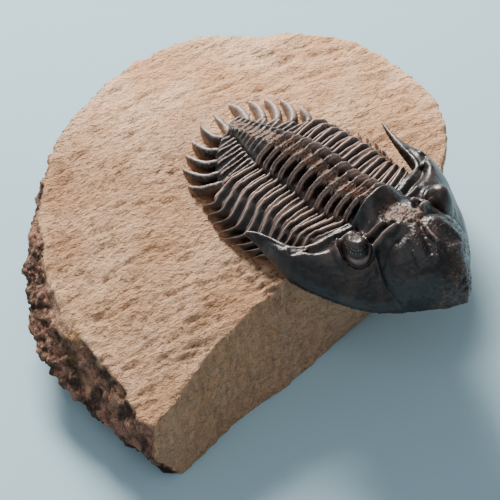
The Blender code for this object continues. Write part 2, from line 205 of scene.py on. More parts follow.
def blocks(points: Points, size: float, seed: int) -> tuple[Points, Points]:
    """Break space into irregular blocks.

    Args:
        points: Rows of x, y, z.
        size: Size of a block.
        seed: Which pattern.

    Returns:
        A steady random value from 0 to 1 for the block of each point, and the point's distance from the
        nearest crack as a share of the size.
    """
    scaled = points / size
    cell = np.floor(scaled).astype(np.int64)
    nearest = np.full(len(points), 9.0)
    second = nearest.copy()
    value = np.zeros(len(points))
    for offset in product((-1, 0, 1), repeat=3):
        there = cell + offset
        centre = there + np.column_stack([hashed(there, seed + axis) for axis in range(3)])
        away = np.linalg.norm(scaled - centre, axis=1)
        closer = away < nearest
        second = np.where(closer, nearest, np.minimum(second, away))
        value = np.where(closer, hashed(there, seed + 7), value)
        nearest = np.where(closer, away, nearest)
    return value, second - nearest


def flat_chain(places: Sequence[Sequence[float]]) -> Points:
    """Chain at height 0 through places given as x and y."""
    return np.array([(x, y, 0.0) for x, y in places])


def chain_distance(points: Points, chain: Points) -> tuple[Points, Points]:
    """Distance in plan from points to a chain of straight lines.

    Args:
        points: Rows of x, y.
        chain: Rows of x, y and z along the chain.

    Returns:
        The distance, and the chain's z at the nearest place.
    """
    best = np.full(len(points), 1e9)
    height = np.zeros(len(points))
    for start, end in zip(chain[:-1], chain[1:]):
        run = end[:2] - start[:2]
        t = np.clip(((points - start[:2]) @ run) / max(run @ run, 1e-9), 0, 1)
        away = np.hypot(*(points - start[:2] - t[:, None] * run).T)
        closer = away < best
        best = np.where(closer, away, best)
        height = np.where(closer, start[2] + (end[2] - start[2]) * t, height)
    return best, height


# --------------------------------------------------------------------------------------------- meshes


def corner_of(node: str) -> tuple[Vector, Vector]:
    """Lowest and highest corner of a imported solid, in mm."""
    low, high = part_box(node)
    return low / MM, high / MM


def animal_origin() -> Points:
    """Find the origin of the animal's frame.

    Returns:
        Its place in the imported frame, in mm.
    """
    ring_low, ring_high = corner_of("thoracic_segment_07")
    head_low, _ = corner_of("cephalon")
    return np.array((0.5 * (ring_low.x + ring_high.x), head_low.y - HEAD_TIP_Y, ring_low.z - SEAT_Z))


def read_each(thing: bpy.types.Object, name: str, columns: int, kind: type = np.float32) -> Points:
    """Read a property of each point of a mesh.

    Args:
        thing: A mesh object.
        name: Name of the property.
        columns: How many numbers it has.
        kind: What it is stored as.

    Returns:
        A row of numbers for each point.
    """
    flat = np.empty(columns * len(thing.data.vertices), kind)
    thing.data.vertices.foreach_get(name, flat)
    return flat.reshape(-1, columns).astype(float)


def read_points(thing: bpy.types.Object) -> Points:
    """Points of a mesh in the animal's frame, in mm."""
    return read_each(thing, "co", 3) / MM - PLACE


def read_normals(thing: bpy.types.Object) -> Points:
    """Unit normal at each point of a mesh."""
    return read_each(thing, "normal", 3)


def picked(thing: bpy.types.Object) -> Points:
    """Which points of a mesh are selected."""
    return read_each(thing, "select", 1, bool)[:, 0] > 0


def write_points(thing: bpy.types.Object, points: Points) -> None:
    """Move a mesh's points to places in the animal's frame, in mm."""
    thing.data.vertices.foreach_set("co", ((points + PLACE) * MM).astype(np.float32).ravel())
    thing.data.update()


def smoothed(thing: bpy.types.Object, values: Points, passes: int) -> Points:
    """Average values at the points of a mesh with their neighbours, several times over.

    Args:
        thing: A mesh object.
        values: A number or a row for each point.
        passes: How many times.

    Returns:
        The averaged values.
    """
    edges = np.empty(2 * len(thing.data.edges), np.int32)
    thing.data.edges.foreach_get("vertices", edges)
    first, second = edges.reshape(-1, 2).T
    count = len(values)
    degree = np.maximum(np.bincount(edges, minlength=count), 1)
    columns = values.reshape(count, -1).astype(float)
    for _ in range(passes):
        total = np.empty_like(columns)
        for k in range(columns.shape[1]):
            from_first = np.bincount(second, columns[first, k], count)
            total[:, k] = from_first + np.bincount(first, columns[second, k], count)
        columns = 0.5 * columns + 0.5 * total / degree[:, None]
    return columns.reshape(values.shape)


def paint(thing: bpy.types.Object, name: str, values: Points) -> None:
    """Store a value at each point of a mesh for its material to read.

    Args:
        thing: A mesh object.
        name: Name of the attribute.
        values: A number for each point.
    """
    data = thing.data
    layer = data.attributes.get(name) or data.attributes.new(name, "FLOAT", "POINT")
    layer.data.foreach_set("value", np.asarray(values, np.float32))


def paint_relief(thing: bpy.types.Object, fine: int, coarse: int) -> None:
    """Store how far each point stands out of its surroundings, in mm, at two scales.

    Args:
        thing: A mesh object.
        fine: Smoothing passes that give the fine surroundings.
        coarse: Passes that give the broad ones.
    """
    points, normals = read_points(thing), read_normals(thing)
    for name, passes in (("relief", fine), ("form", coarse)):
        paint(thing, name, ((points - smoothed(thing, points, passes)) * normals).sum(axis=1))


def choose(thing: bpy.types.Object) -> None:
    """Make one object the active and only selected one.

    Args:
        thing: The object.
    """
    bpy.ops.object.select_all(action="DESELECT")
    thing.select_set(True)
    bpy.context.view_layer.objects.active = thing


def add_sheet(name: str, columns: int, rows: int) -> bpy.types.Object:
    """Add a flat grid whose own x and y run from -1 to 1.

    Args:
        name: Its name.
        columns: Cells along x.
        rows: Cells along y.

    Returns:
        The grid.
    """
    bpy.ops.object.select_all(action="DESELECT")
    bpy.ops.mesh.primitive_grid_add(x_subdivisions=columns, y_subdivisions=rows, size=2.0)
    thing = bpy.context.active_object
    thing.name = thing.data.name = name
    return thing


def shape_sheet(name: str, columns: int, rows: int, shape: Shape) -> bpy.types.Object:
    """Add a grid and mould it.

    Args:
        name: Name of the object.
        columns: Cells along u.
        rows: Cells along v.
        shape: Gives points in mm for u and v, which both run from -1 to 1.

    Returns:
        The moulded sheet, open at its edges.
    """
    thing = add_sheet(name, columns, rows)
    u, v, _ = read_each(thing, "co", 3).T
    write_points(thing, shape(u, v))
    return thing


def close_form(thing: bpy.types.Object, merge: float = 0.002) -> bpy.types.Object:
    """Merge a sheet's seam and poles, cap what is still open and turn its faces outwards.

    Args:
        thing: A mesh object.
        merge: Distance in mm below which points are merged.

    Returns:
        The same object.
    """
    choose(thing)
    bpy.ops.object.mode_set(mode="EDIT")
    bpy.ops.mesh.select_mode(type="EDGE")
    bpy.ops.mesh.select_all(action="SELECT")
    bpy.ops.mesh.remove_doubles(threshold=merge * MM)
    bpy.ops.mesh.select_all(action="DESELECT")
    bpy.ops.mesh.select_non_manifold()
    bpy.ops.mesh.edge_face_add()
    bpy.ops.mesh.select_all(action="SELECT")
    bpy.ops.mesh.normals_make_consistent(inside=False)
    bpy.ops.object.mode_set(mode="OBJECT")
    return thing


def drop_skirt(thing: bpy.types.Object, floor: float) -> None:
    """Extrude the edge of a sheet straight down and close it there, so that it is solid.

    Args:
        thing: The sheet.
        floor: Level of its underside, in mm.
    """
    choose(thing)
    bpy.ops.object.mode_set(mode="EDIT")
    bpy.ops.mesh.select_mode(type="EDGE")
    bpy.ops.mesh.select_all(action="DESELECT")
    bpy.ops.mesh.select_non_manifold()
    bpy.ops.mesh.extrude_edges_move()
    bpy.ops.object.mode_set(mode="OBJECT")
    points = read_points(thing)
    points[picked(thing), 2] = floor
    write_points(thing, points)
    bpy.ops.object.mode_set(mode="EDIT")
    bpy.ops.mesh.edge_face_add()
    bpy.ops.mesh.select_all(action="SELECT")
    bpy.ops.mesh.normals_make_consistent(inside=False)
    bpy.ops.object.mode_set(mode="OBJECT")


def apply_modifier(thing: bpy.types.Object, kind: str, **settings: object) -> None:
    """Add a modifier, set it and apply it.

    Args:
        thing: A mesh object.
        kind: Type of the modifier.
        **settings: Its properties.
    """
    choose(thing)
    modifier = thing.modifiers.new(kind.title(), kind)
    for name, value in settings.items():
        setattr(modifier, name, value)
    bpy.ops.object.modifier_apply(modifier=modifier.name)


def join(things: Sequence[bpy.types.Object]) -> bpy.types.Object:
    """Join objects into the first of them.

    Args:
        things: The objects.

    Returns:
        The first of them.
    """
    bpy.ops.object.select_all(action="DESELECT")
    for thing in things:
        thing.select_set(True)
    bpy.context.view_layer.objects.active = things[0]
    bpy.ops.object.join()
    return things[0]


def fuse(things: Sequence[bpy.types.Object], voxel: float) -> bpy.types.Object:
    """Join overlapping closed forms and remesh them as one closed skin.

    Args:
        things: The forms.
        voxel: Size of its cells, in mm.

    Returns:
        The skin, in place of the first form.
    """
    whole = join(things)
    apply_modifier(whole, "REMESH", mode="VOXEL", voxel_size=voxel * MM, adaptivity=0.0)
    return whole


def hand_over(thing: bpy.types.Object, slot: Slot, material: bpy.types.Material, *nodes: str) -> None:
    """Finish a piece: smooth shading, its material, the body it rides on and what it replaces.

    Args:
        thing: The piece.
        slot: Its material slot; not used.
        material: Its material.
        *nodes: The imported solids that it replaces.
    """
    choose(thing)
    bpy.ops.object.shade_smooth()
    thing.data.materials.clear()
    thing.data.materials.append(material)
    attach(thing, BODY)
    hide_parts(*nodes)
    triangles = sum(len(face.vertices) - 2 for face in thing.data.polygons)
    LOG.info("%s: %d triangles", thing.name, triangles)


# ------------------------------------------------------------------------------------------ materials

TOOL_MARK_TURN = math.radians(-16.0)  # direction of the marks on the stone, in plan


@dataclass
class Graph:
    """A node tree that is being wired."""

    MIX_INPUTS: ClassVar[tuple] = (0, 6, 7)  # share and both colours of a Mix node that mixes colours
    MIX_RESULT: ClassVar[int] = 2

    tree: bpy.types.NodeTree

    def add(self, kind: str, settings: dict | None = None, **values: object) -> bpy.types.Node:
        """Add a node.

        Args:
            kind: Type of the node without its ShaderNode prefix.
            settings: The node's own properties.
            **values: Values or source sockets for its inputs, with underscores for spaces.

        Returns:
            The new node.
        """
        node = self.tree.nodes.new("ShaderNode" + kind)
        for name, value in (settings or {}).items():
            setattr(node, name, value)
        for name, value in values.items():
            self.put(node, name.replace("_", " "), value)
        return node

    def put(self, node: bpy.types.Node, name: str | int, value: object) -> None:
        """Link a source socket to an input, or set the input's value.

        Args:
            node: Node that has the input.
            name: Name or place of the input.
            value: The source socket, or the value.
        """
        socket = node.inputs[name]
        if isinstance(value, bpy.types.NodeSocket):
            self.tree.links.new(value, socket)
        else:
            socket.default_value = value

    def math(self, operation: str, *values: object, clamp: bool = False) -> Socket:
        """Add a Math node.

        Args:
            operation: Its operation.
            *values: Values or source sockets for its inputs.
            clamp: Whether its result is kept between 0 and 1.

        Returns:
            Its result.
        """
        node = self.add("Math", {"operation": operation, "use_clamp": clamp})
        for place, value in enumerate(values):
            self.put(node, place, value)
        return node.outputs[0]

    def times(self, *values: object) -> Socket:
        """Product of values."""
        return reduce(lambda first, second: self.math("MULTIPLY", first, second), values)

    def plus(self, *values: object) -> Socket:
        """Sum of values."""
        return reduce(lambda first, second: self.math("ADD", first, second), values)

    def most(self, *values: object) -> Socket:
        """Largest of values."""
        return reduce(lambda first, second: self.math("MAXIMUM", first, second), values)

    def rest(self, value: object) -> Socket:
        """What a value leaves of 1."""
        return self.math("SUBTRACT", 1.0, value, clamp=True)

    def span(self, value: object, low: float, high: float, to: tuple = (0.0, 1.0)) -> Socket:
        """Map a range smoothly onto another and stay level beyond it.

        Args:
            value: What to map.
            low: Where the range starts.
            high: Where it ends.
            to: Results at its start and at its end.

        Returns:
            The mapped value.
        """
        node = self.add("MapRange", {"interpolation_type": "SMOOTHSTEP"})
        labels = ("Value", "From Min", "From Max", "To Min", "To Max")
        for label, number in zip(labels, (value, low, high, *to)):
            self.put(node, label, number)
        return node.outputs[0]

    def blend(self, share: object, first: object, second: object, how: str = "MIX") -> Socket:
        """Mix two colours.

        Args:
            share: How much of the second colour there is.
            first: The first colour.
            second: The second colour.
            how: Blend type of the node.

        Returns:
            The mixed colour.
        """
        node = self.add("Mix", {"data_type": "RGBA", "blend_type": how})
        for place, value in zip(self.MIX_INPUTS, (share, first, second)):
            self.put(node, place, value)
        return node.outputs[self.MIX_RESULT]

    def attribute(self, name: str) -> Socket:
        """Read a value stored at the points of a mesh."""
        return self.add("Attribute", {"attribute_name": name}).outputs["Fac"]

    def object_place(self, stretch: tuple = (1.0, 1.0, 1.0), turn: tuple = (0.0, 0.0, 0.0)) -> Socket:
        """Read object coordinates.

        Args:
            stretch: Scales along the turned axes.
            turn: Turns about x, y and z, which come first.

        Returns:
            The coordinates.
        """
        place = self.add("TexCoord").outputs["Object"]
        turned = self.add("Mapping", Vector=place, Rotation=turn).outputs[0]
        return self.add("Mapping", Vector=turned, Scale=stretch).outputs[0]

    def noise(self, place: object, size: float, detail: float = 4.0, rough: float = 0.55) -> Socket:
        """Noise with features of a size in mm."""
        node = self.add("TexNoise", Vector=place, Scale=1.0 / (size * MM), Detail=detail, Roughness=rough)
        return node.outputs["Fac"]


def colour(red: float, green: float, blue: float) -> tuple[float, float, float, float]:
    """Work out a colour for the shaders.

    Args:
        red: Its sRGB red, 0 to 255.
        green: Its sRGB green.
        blue: Its sRGB blue.

    Returns:
        The linear colour, opaque.
    """
    linear = [
        ((part / 255 + 0.055) / 1.055) ** 2.4 if part > 10 else part / 255 / 12.92
        for part in (red, green, blue)
    ]
    return (*linear, 1.0)


def new_material(name: str) -> tuple[bpy.types.Material, Graph, bpy.types.Node]:
    """Start a material.

    Args:
        name: Its name.

    Returns:
        The material, the graph of its nodes and its shader.
    """
    material = bpy.data.materials.new(name)
    material.use_nodes = True
    return material, Graph(material.node_tree), material.node_tree.nodes["Principled BSDF"]


def new_group(name: str, inputs: dict[str, float], outputs: Sequence[str]) -> tuple[Graph, dict, dict]:
    """Start a shader node group of plain numbers.

    Args:
        name: Name of the group.
        inputs: Its inputs and their usual values.
        outputs: Its outputs.

    Returns:
        The graph inside it, its inputs as source sockets, and its outputs as a dict to look sockets up in.
    """
    tree = bpy.data.node_groups.new(name, "ShaderNodeTree")
    kind = "NodeSocketFloat"
    for label, usual in inputs.items():
        tree.interface.new_socket(label, in_out="INPUT", socket_type=kind).default_value = usual
    for label in outputs:
        tree.interface.new_socket(label, in_out="OUTPUT", socket_type=kind)
    entry, leave = tree.nodes.new("NodeGroupInput"), tree.nodes.new("NodeGroupOutput")
    given = {label: entry.outputs[label] for label in inputs}
    results = {label: leave.inputs[label] for label in outputs}
    return Graph(tree), given, results


def grain_group() -> bpy.types.NodeTree:
    """Grains and pits at two sizes, on object coordinates.

    Returns:
        A group with inputs Size (mm) and Pits, and outputs Height and Specks.
    """
    graph, given, out = new_group("grain", {"Size": 0.4, "Pits": 0.5}, ("Height", "Specks"))
    place = graph.object_place()
    per_metre = graph.math("DIVIDE", 1.0 / MM, given["Size"])
    fine = graph.add("TexNoise", Vector=place, Scale=per_metre, Detail=5.0, Roughness=0.6).outputs["Fac"]
    cells = graph.add("TexVoronoi", Vector=place, Scale=per_metre).outputs["Distance"]
    holes = graph.span(cells, 0.05, 0.35, (1.0, 0.0))
    coarse = graph.add("TexNoise", Vector=place, Scale=graph.times(per_metre, 0.21), Detail=2.0)
    where = graph.span(coarse.outputs["Fac"], 0.5, 0.64)
    sunk = graph.times(holes, where, given["Pits"])
    graph.tree.links.new(graph.math("SUBTRACT", fine, sunk), out["Height"])
    graph.tree.links.new(graph.span(fine, 0.6, 0.75), out["Specks"])
    return graph.tree


def relief_group() -> bpy.types.NodeTree:
    """Masks of crests, which are painted pale, and of hollows, which get painted shade, from the relief
    stored on a mesh.

    Returns:
        A group with inputs for the crests and for the painted shade in hollows, the heights in mm at which
        each is full, and an output mask for each.
    """
    graph, given, out = new_group("relief_masks", {"Crest": 0.1, "Hollow": 0.1}, ("Crest", "Hollow"))
    stand = graph.attribute("relief")
    ragged = graph.noise(graph.object_place(), 0.5, 3.0)
    wobble = graph.span(ragged, 0.3, 0.7, (0.6, 1.25))
    high = graph.times(graph.math("DIVIDE", stand, given["Crest"]), wobble)
    graph.tree.links.new(graph.span(high, 0.15, 1.0), out["Crest"])
    # painted shade: how deep a point lies in a hollow of the relief
    deep = graph.math("DIVIDE", graph.times(stand, -1.0), given["Hollow"])
    graph.tree.links.new(graph.span(deep, 0.0, 1.0), out["Hollow"])
    return graph.tree


@dataclass(frozen=True)
class ShellFinish:
    """Near-black fossil shell: crests painted pale as worn shell and as highlight, painted shade in hollows,
    brown worn patches and sand left in its hollows.
    """

    deep: tuple = colour(13, 10, 10)
    dark: tuple = colour(34, 27, 26)
    brown: tuple = colour(74, 54, 47)
    # pale colour of the crests: partly worn shell, partly painted highlight
    crest: tuple = colour(206, 179, 166)
    worn: tuple = colour(132, 88, 68)
    ashen: tuple = colour(108, 97, 84)
    bleach: tuple = colour(196, 172, 160)
    sand: tuple = colour(150, 114, 88)
    roughness: float = 0.30
    specular: float = 0.42
    coat: float = 0.25
    coat_roughness: float = 0.3
    clouds: float = 5.0  # sizes of three layers of noise, in mm
    mottles: float = 1.1
    freckles: float = 0.35
    grain_size: float = 0.30
    crest_height: float = 0.09  # relief in mm at which a crest is fully painted pale, as worn shell and as highlight
    hollow_shade_depth: float = 0.10  # and at which the painted shade in a hollow is full
    bump_depth: float = 0.12

    def ground(self, graph: Graph, mottled: Socket, freckled: Socket, bleached: Socket) -> Socket:
        """Colour the shell before its crests are rubbed: dark, browned in clouds, bleached and worn.

        Args:
            graph: The material's graph.
            mottled: The middle layer of noise.
            freckled: The finest layer of noise.
            bleached: Mask of bleached shell.

        Returns:
            The colour.
        """
        cloudy = graph.noise(graph.object_place(), self.clouds, 3.0)
        base = graph.blend(graph.span(mottled, 0.42, 0.68), self.deep, self.dark)
        base = graph.blend(graph.times(graph.span(cloudy, 0.45, 0.66), 0.5), base, self.brown)
        base = graph.blend(bleached, base, self.bleach)
        worn_tint = graph.blend(graph.span(mottled, 0.44, 0.6), self.worn, self.ashen)
        worn_tint = graph.blend(graph.span(freckled, 0.50, 0.62), worn_tint, self.deep)
        # specks of the pale crest colour, which is partly painted highlight
        worn_tint = graph.blend(graph.span(freckled, 0.40, 0.30, (0.0, 0.35)), worn_tint, self.crest)
        return graph.blend(graph.times(graph.attribute("wear"), 0.9), base, worn_tint)

    def crests(self, graph: Graph, sharp: Socket, mottled: Socket, freckled: Socket) -> Socket:
        """Mask the crests that are painted pale, as worn shell and as painted highlight and glints.

        Args:
            graph: The material's graph.
            sharp: Mask of sharp crests from the relief.
            mottled: The middle layer of noise.
            freckled: The finest layer of noise.

        Returns:
            A mask that also takes in broad swellings and the painted ridges, and leaves out worn shell.
        """
        # Pale crest colour, partly worn shell and partly painted highlight, on sharp crests, broad swellings
        # and the painted ridge lines.
        raised = graph.span(graph.attribute("form"), 0.12, 0.34)
        pale = graph.attribute("pale")
        crest = graph.most(sharp, graph.times(raised, 0.65))
        crest = graph.times(crest, graph.span(mottled, 0.25, 0.5, (0.65, 1.0)))
        crest = graph.math("MULTIPLY", crest, pale, clamp=True)
        # pale grains on raised parts of the axis: painted glints
        grainy = graph.times(raised, graph.span(freckled, 0.44, 0.58, (0.0, 0.6)), graph.rest(pale))
        # painted ridge lines: worn shell and painted highlight
        rubbed = graph.times(graph.attribute("ridge"), graph.span(mottled, 0.25, 0.55, (0.45, 0.9)))
        unworn = graph.rest(graph.times(graph.attribute("wear"), 0.85))
        return graph.times(graph.most(crest, grainy, rubbed), unworn)

    def make(self, grain: bpy.types.NodeTree, relief: bpy.types.NodeTree) -> bpy.types.Material:
        """Build the material.

        Args:
            grain: The grain group.
            relief: The group of relief masks.

        Returns:
            The material.
        """
        material, graph, shader = new_material("fossil_shell")
        place = graph.object_place()
        mottled = graph.noise(place, self.mottles, 4.0)
        freckled = graph.noise(place, self.freckles, 3.0)
        grains = graph.add("Group", {"node_tree": grain}, Size=self.grain_size, Pits=0.5)
        edges = graph.add("Group", {"node_tree": relief}, Crest=self.crest_height, Hollow=self.hollow_shade_depth)
        bleached = graph.times(graph.attribute("bleached"), graph.span(mottled, 0.2, 0.5, (0.55, 0.95)))
        sandy = graph.times(graph.attribute("dust"), 0.9)
        base = self.ground(graph, mottled, freckled, bleached)
        # Crests take the pale crest colour: worn shell and painted highlight.
        base = graph.blend(self.crests(graph, edges.outputs["Crest"], mottled, freckled), base, self.crest)
        base = graph.blend(sandy, base, self.sand)
        # Painted shade: hollows of the fine and the broad relief darken towards the deep colour.
        sunken_shade = graph.span(graph.attribute("form"), -0.20, -0.02, (0.75, 0.0))
        hollow_shade = graph.most(edges.outputs["Hollow"], sunken_shade)
        base = graph.blend(hollow_shade, base, graph.blend(0.75, base, self.deep, "MULTIPLY"))
        matt = graph.most(graph.attribute("wear"), sandy, bleached)
        rough = graph.plus(self.roughness - 0.06, graph.times(mottled, 0.2), graph.times(matt, 0.28))
        height = graph.plus(graph.times(grains.outputs["Height"], 0.9), mottled)
        relief_bump = graph.add("Bump", Strength=0.6, Distance=self.bump_depth * MM, Height=height)
        graph.put(shader, "Base Color", base)
        graph.put(shader, "Roughness", rough)
        graph.put(shader, "Normal", relief_bump.outputs[0])
        graph.put(shader, "Coat Weight", graph.times(graph.rest(matt), self.coat))
        shader.inputs["Specular IOR Level"].default_value = self.specular
        shader.inputs["Coat Roughness"].default_value = self.coat_roughness
        return material


@dataclass(frozen=True)
class StoneFinish:
    """Sandy matrix: pale tan on its prepared top, brown on fresh sides, dark and rusty where weathered, with
    painted shade in its pits and gouges and a painted highlight on raised relief of its top.
    """

    pale: tuple = colour(255, 211, 172)
    tan: tuple = colour(224, 174, 132)
    earthy: tuple = colour(204, 150, 108)
    ochre: tuple = colour(206, 150, 78)
    brown: tuple = colour(222, 180, 148)
    rust: tuple = colour(178, 130, 110)
    black: tuple = colour(60, 46, 44)
    # dark grains, and the painted shade in pits and gouges
    grain_and_shade_dark: tuple = colour(120, 84, 62)
    roughness: float = 0.9
    specular: float = 0.25
    clouds: float = 16.0  # sizes of layers of noise, in mm
    mottles: float = 4.0
    strokes: float = 0.55
    gouges: float = 0.9
    streaks: float = 1.0
    grain_size: float = 0.75
    fine_size: float = 0.30
    bump_depth: float = 1.1

    def sound(self, graph: Graph, mottled: Socket, streaked: Socket) -> Socket:
        """Colour the sound stone.

        Args:
            graph: The material's graph.
            mottled: A middling layer of noise.
            streaked: Noise drawn out upwards, for the sides.

        Returns:
            The colour of its top, its fresh sides, its rim round the animal and its stain.
        """
        cloudy = graph.noise(graph.object_place(), self.clouds, 4.0)
        base = graph.blend(graph.span(cloudy, 0.38, 0.62), self.tan, self.pale)
        base = graph.blend(graph.times(graph.span(mottled, 0.50, 0.70), 0.5), base, self.tan)
        base = graph.blend(graph.span(graph.attribute("coarse"), 0.6, 1.0, (0.0, 0.3)), base, self.earthy)
        fresh = graph.blend(graph.span(streaked, 0.32, 0.58), self.brown, self.tan)
        base = graph.blend(graph.attribute("side"), base, fresh)
        rubbed = graph.times(graph.attribute("near"), graph.span(mottled, 0.35, 0.6, (0.35, 0.75)))
        base = graph.blend(rubbed, base, self.brown)
        return graph.blend(graph.attribute("ochre"), base, self.ochre)

    def make(self, grain: bpy.types.NodeTree) -> bpy.types.Material:
        """Build the material.

        Args:
            grain: The grain group.

        Returns:
            The material.
        """
        material, graph, shader = new_material("matrix_stone")
        grains = graph.add("Group", {"node_tree": grain}, Size=self.grain_size, Pits=0.9)
        small = graph.add("Group", {"node_tree": grain}, Size=self.fine_size, Pits=0.4)
        along = graph.object_place((0.58, 1.0, 1.0), (0.0, 0.0, -TOOL_MARK_TURN))
        strokes = graph.noise(along, self.strokes, 4.0, 0.6)
        gouges = graph.span(graph.noise(along, self.gouges, 3.0), 0.38, 0.50)
        streaked = graph.noise(graph.object_place((1.0, 1.0, 0.22)), self.streaks, 4.0, 0.6)
        mottled = graph.noise(graph.object_place(), self.mottles, 5.0)
        side, coarse = graph.attribute("side"), graph.attribute("coarse")
        crust = graph.blend(graph.span(mottled, 0.42, 0.60), self.black, self.rust)
        crust = graph.blend(graph.times(small.outputs["Specks"], 0.5), crust, self.tan)
        base = self.sound(graph, mottled, streaked)
        base = graph.blend(graph.times(graph.attribute("crust"), 0.95), base, crust)
        # Dark grains, and painted shade in the low parts of the gouges on the top.
        gouge_shade = graph.times(graph.rest(gouges), coarse, graph.rest(graph.times(side, 0.9)))
        speck = graph.times(grains.outputs["Specks"], graph.span(side, 0.0, 1.0, (0.45, 0.12)))
        base = graph.blend(graph.most(speck, graph.times(gouge_shade, 0.35)), base, self.grain_and_shade_dark)
        # Painted shade in the hollows of the relief, weaker on the sides.
        shade = graph.span(graph.attribute("relief"), -0.20, -0.02, (0.65, 0.0))
        shade = graph.times(shade, graph.span(side, 0.0, 1.0, (1.0, 0.35)))
        base = graph.blend(shade, base, self.grain_and_shade_dark)
        # Painted highlight on the raised relief of the top.
        light = graph.span(graph.attribute("relief"), 0.02, 0.28, (0.0, 0.35))
        base = graph.blend(graph.times(light, graph.rest(side)), base, self.pale)
        grainy = graph.plus(grains.outputs["Height"], graph.times(small.outputs["Height"], 0.5))
        marked = graph.plus(graph.times(graph.blend(side, strokes, streaked), 1.1), graph.times(gouges, 0.5))
        height = graph.times(graph.plus(grainy, marked), coarse)
        relief_bump = graph.add("Bump", Strength=1.0, Distance=self.bump_depth * MM, Height=height)
        rough = graph.span(mottled, 0.2, 0.8, (self.roughness - 0.08, self.roughness + 0.06))
        graph.put(shader, "Base Color", base)
        graph.put(shader, "Roughness", rough)
        graph.put(shader, "Normal", relief_bump.outputs[0])
        shader.inputs["Specular IOR Level"].default_value = self.specular
        return material


@dataclass(frozen=True)
class FloorFinish:
    """Plain pale matt paper with a faint tooth."""

    tint: tuple = colour(176, 208, 220)
    roughness: float = 0.85
    specular: float = 0.2
    tooth: float = 0.8  # in mm
    tooth_height: float = 0.1

    def make(self) -> bpy.types.Material:
        """Build the material.

        Returns:
            The material.
        """
        material, graph, shader = new_material("pale_floor")
        tooth = graph.noise(graph.object_place(), self.tooth, 3.0)
        light = tuple(min(1.0, 1.04 * part) for part in self.tint[:3])
        relief_bump = graph.add("Bump", Strength=0.1, Distance=self.tooth_height * MM, Height=tooth)
        graph.put(shader, "Base Color", graph.blend(tooth, self.tint, (*light, 1.0)))
        graph.put(shader, "Normal", relief_bump.outputs[0])
        shader.inputs["Roughness"].default_value = self.roughness
        shader.inputs["Specular IOR Level"].default_value = self.specular
        return material


# ------------------------------------------------------------------------------------------ the animal

SEAT_Z = -8.7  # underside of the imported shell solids
SUNK_Z = -9.6  # how deep the shell pieces reach into the stone
HEAD_TIP_Y = -41.9
PLACE = animal_origin()


@dataclass(frozen=True)
class BodyPlan:
    """Measures that the pieces of the animal share, in mm."""

    ring_y: tuple = (-15.8, -13.1, -10.6, -8.1, -5.4, -2.7, 0.0, 2.6, 5.2, 7.6, 9.9, 12.2)
    crest_lead: float = 0.25
    fulcrum: float = 13.4
    fulcrum_inset: tuple = (0.7, 0.0, 0.0, 1.0)  # at joints 0, 3, 6 and 11
    joint_sweep: tuple = (2.6, 0.2, 0.4, 0.85)  # at joints 0, 5, 8 and 11

    def furrow_z(self, y: Points) -> Points:
        """Height of the furrow beside the axis."""
        heights = (2.2, 1.4, 0.2, -0.5, 0.0, -0.5, -1.7, -2.2, -4.1)
        return curve(y, (-16, -13, -10, -6, 0, 5, 10, 13, 25), heights)

    def axis_half(self, y: Points) -> Points:
        """Half the width of the axis."""
        return curve(y, (-16, -10, -4, 0, 6, 12.5, 20, 25), (5.7, 6.35, 6.4, 6.2, 6.0, 5.0, 3.1, 1.6))

    def ring_height(self, y: Points) -> Points:
        """Height of the axis over its furrows."""
        return curve(y, (-16, 6, 12, 18, 25), (4.8, 4.6, 4.1, 3.2, 1.6))

    def fulcrum_x(self, number: int) -> float:
        """Where the pleurae of a segment turn down."""
        return self.fulcrum - float(np.interp(number, (0, 3, 6, 11), self.fulcrum_inset))

    def joint_y(self, number: int, side: Points) -> Points:
        """Find the joint behind a segment, or behind the head for 0.

        Args:
            number: The segment.
            side: Distances from the midline.

        Returns:
            Y of the joint at each distance.
        """
        y = self.ring_y[number] + self.crest_lead
        axis = float(self.axis_half(np.array(y)))
        inner = y - 0.5 * (1 - (np.minimum(side, axis) / axis) ** 2)
        out = np.maximum(side - axis, 0) / (self.fulcrum_x(number) - axis)
        return inner + float(np.interp(number, (0, 5, 8, 11), self.joint_sweep)) * out**1.5


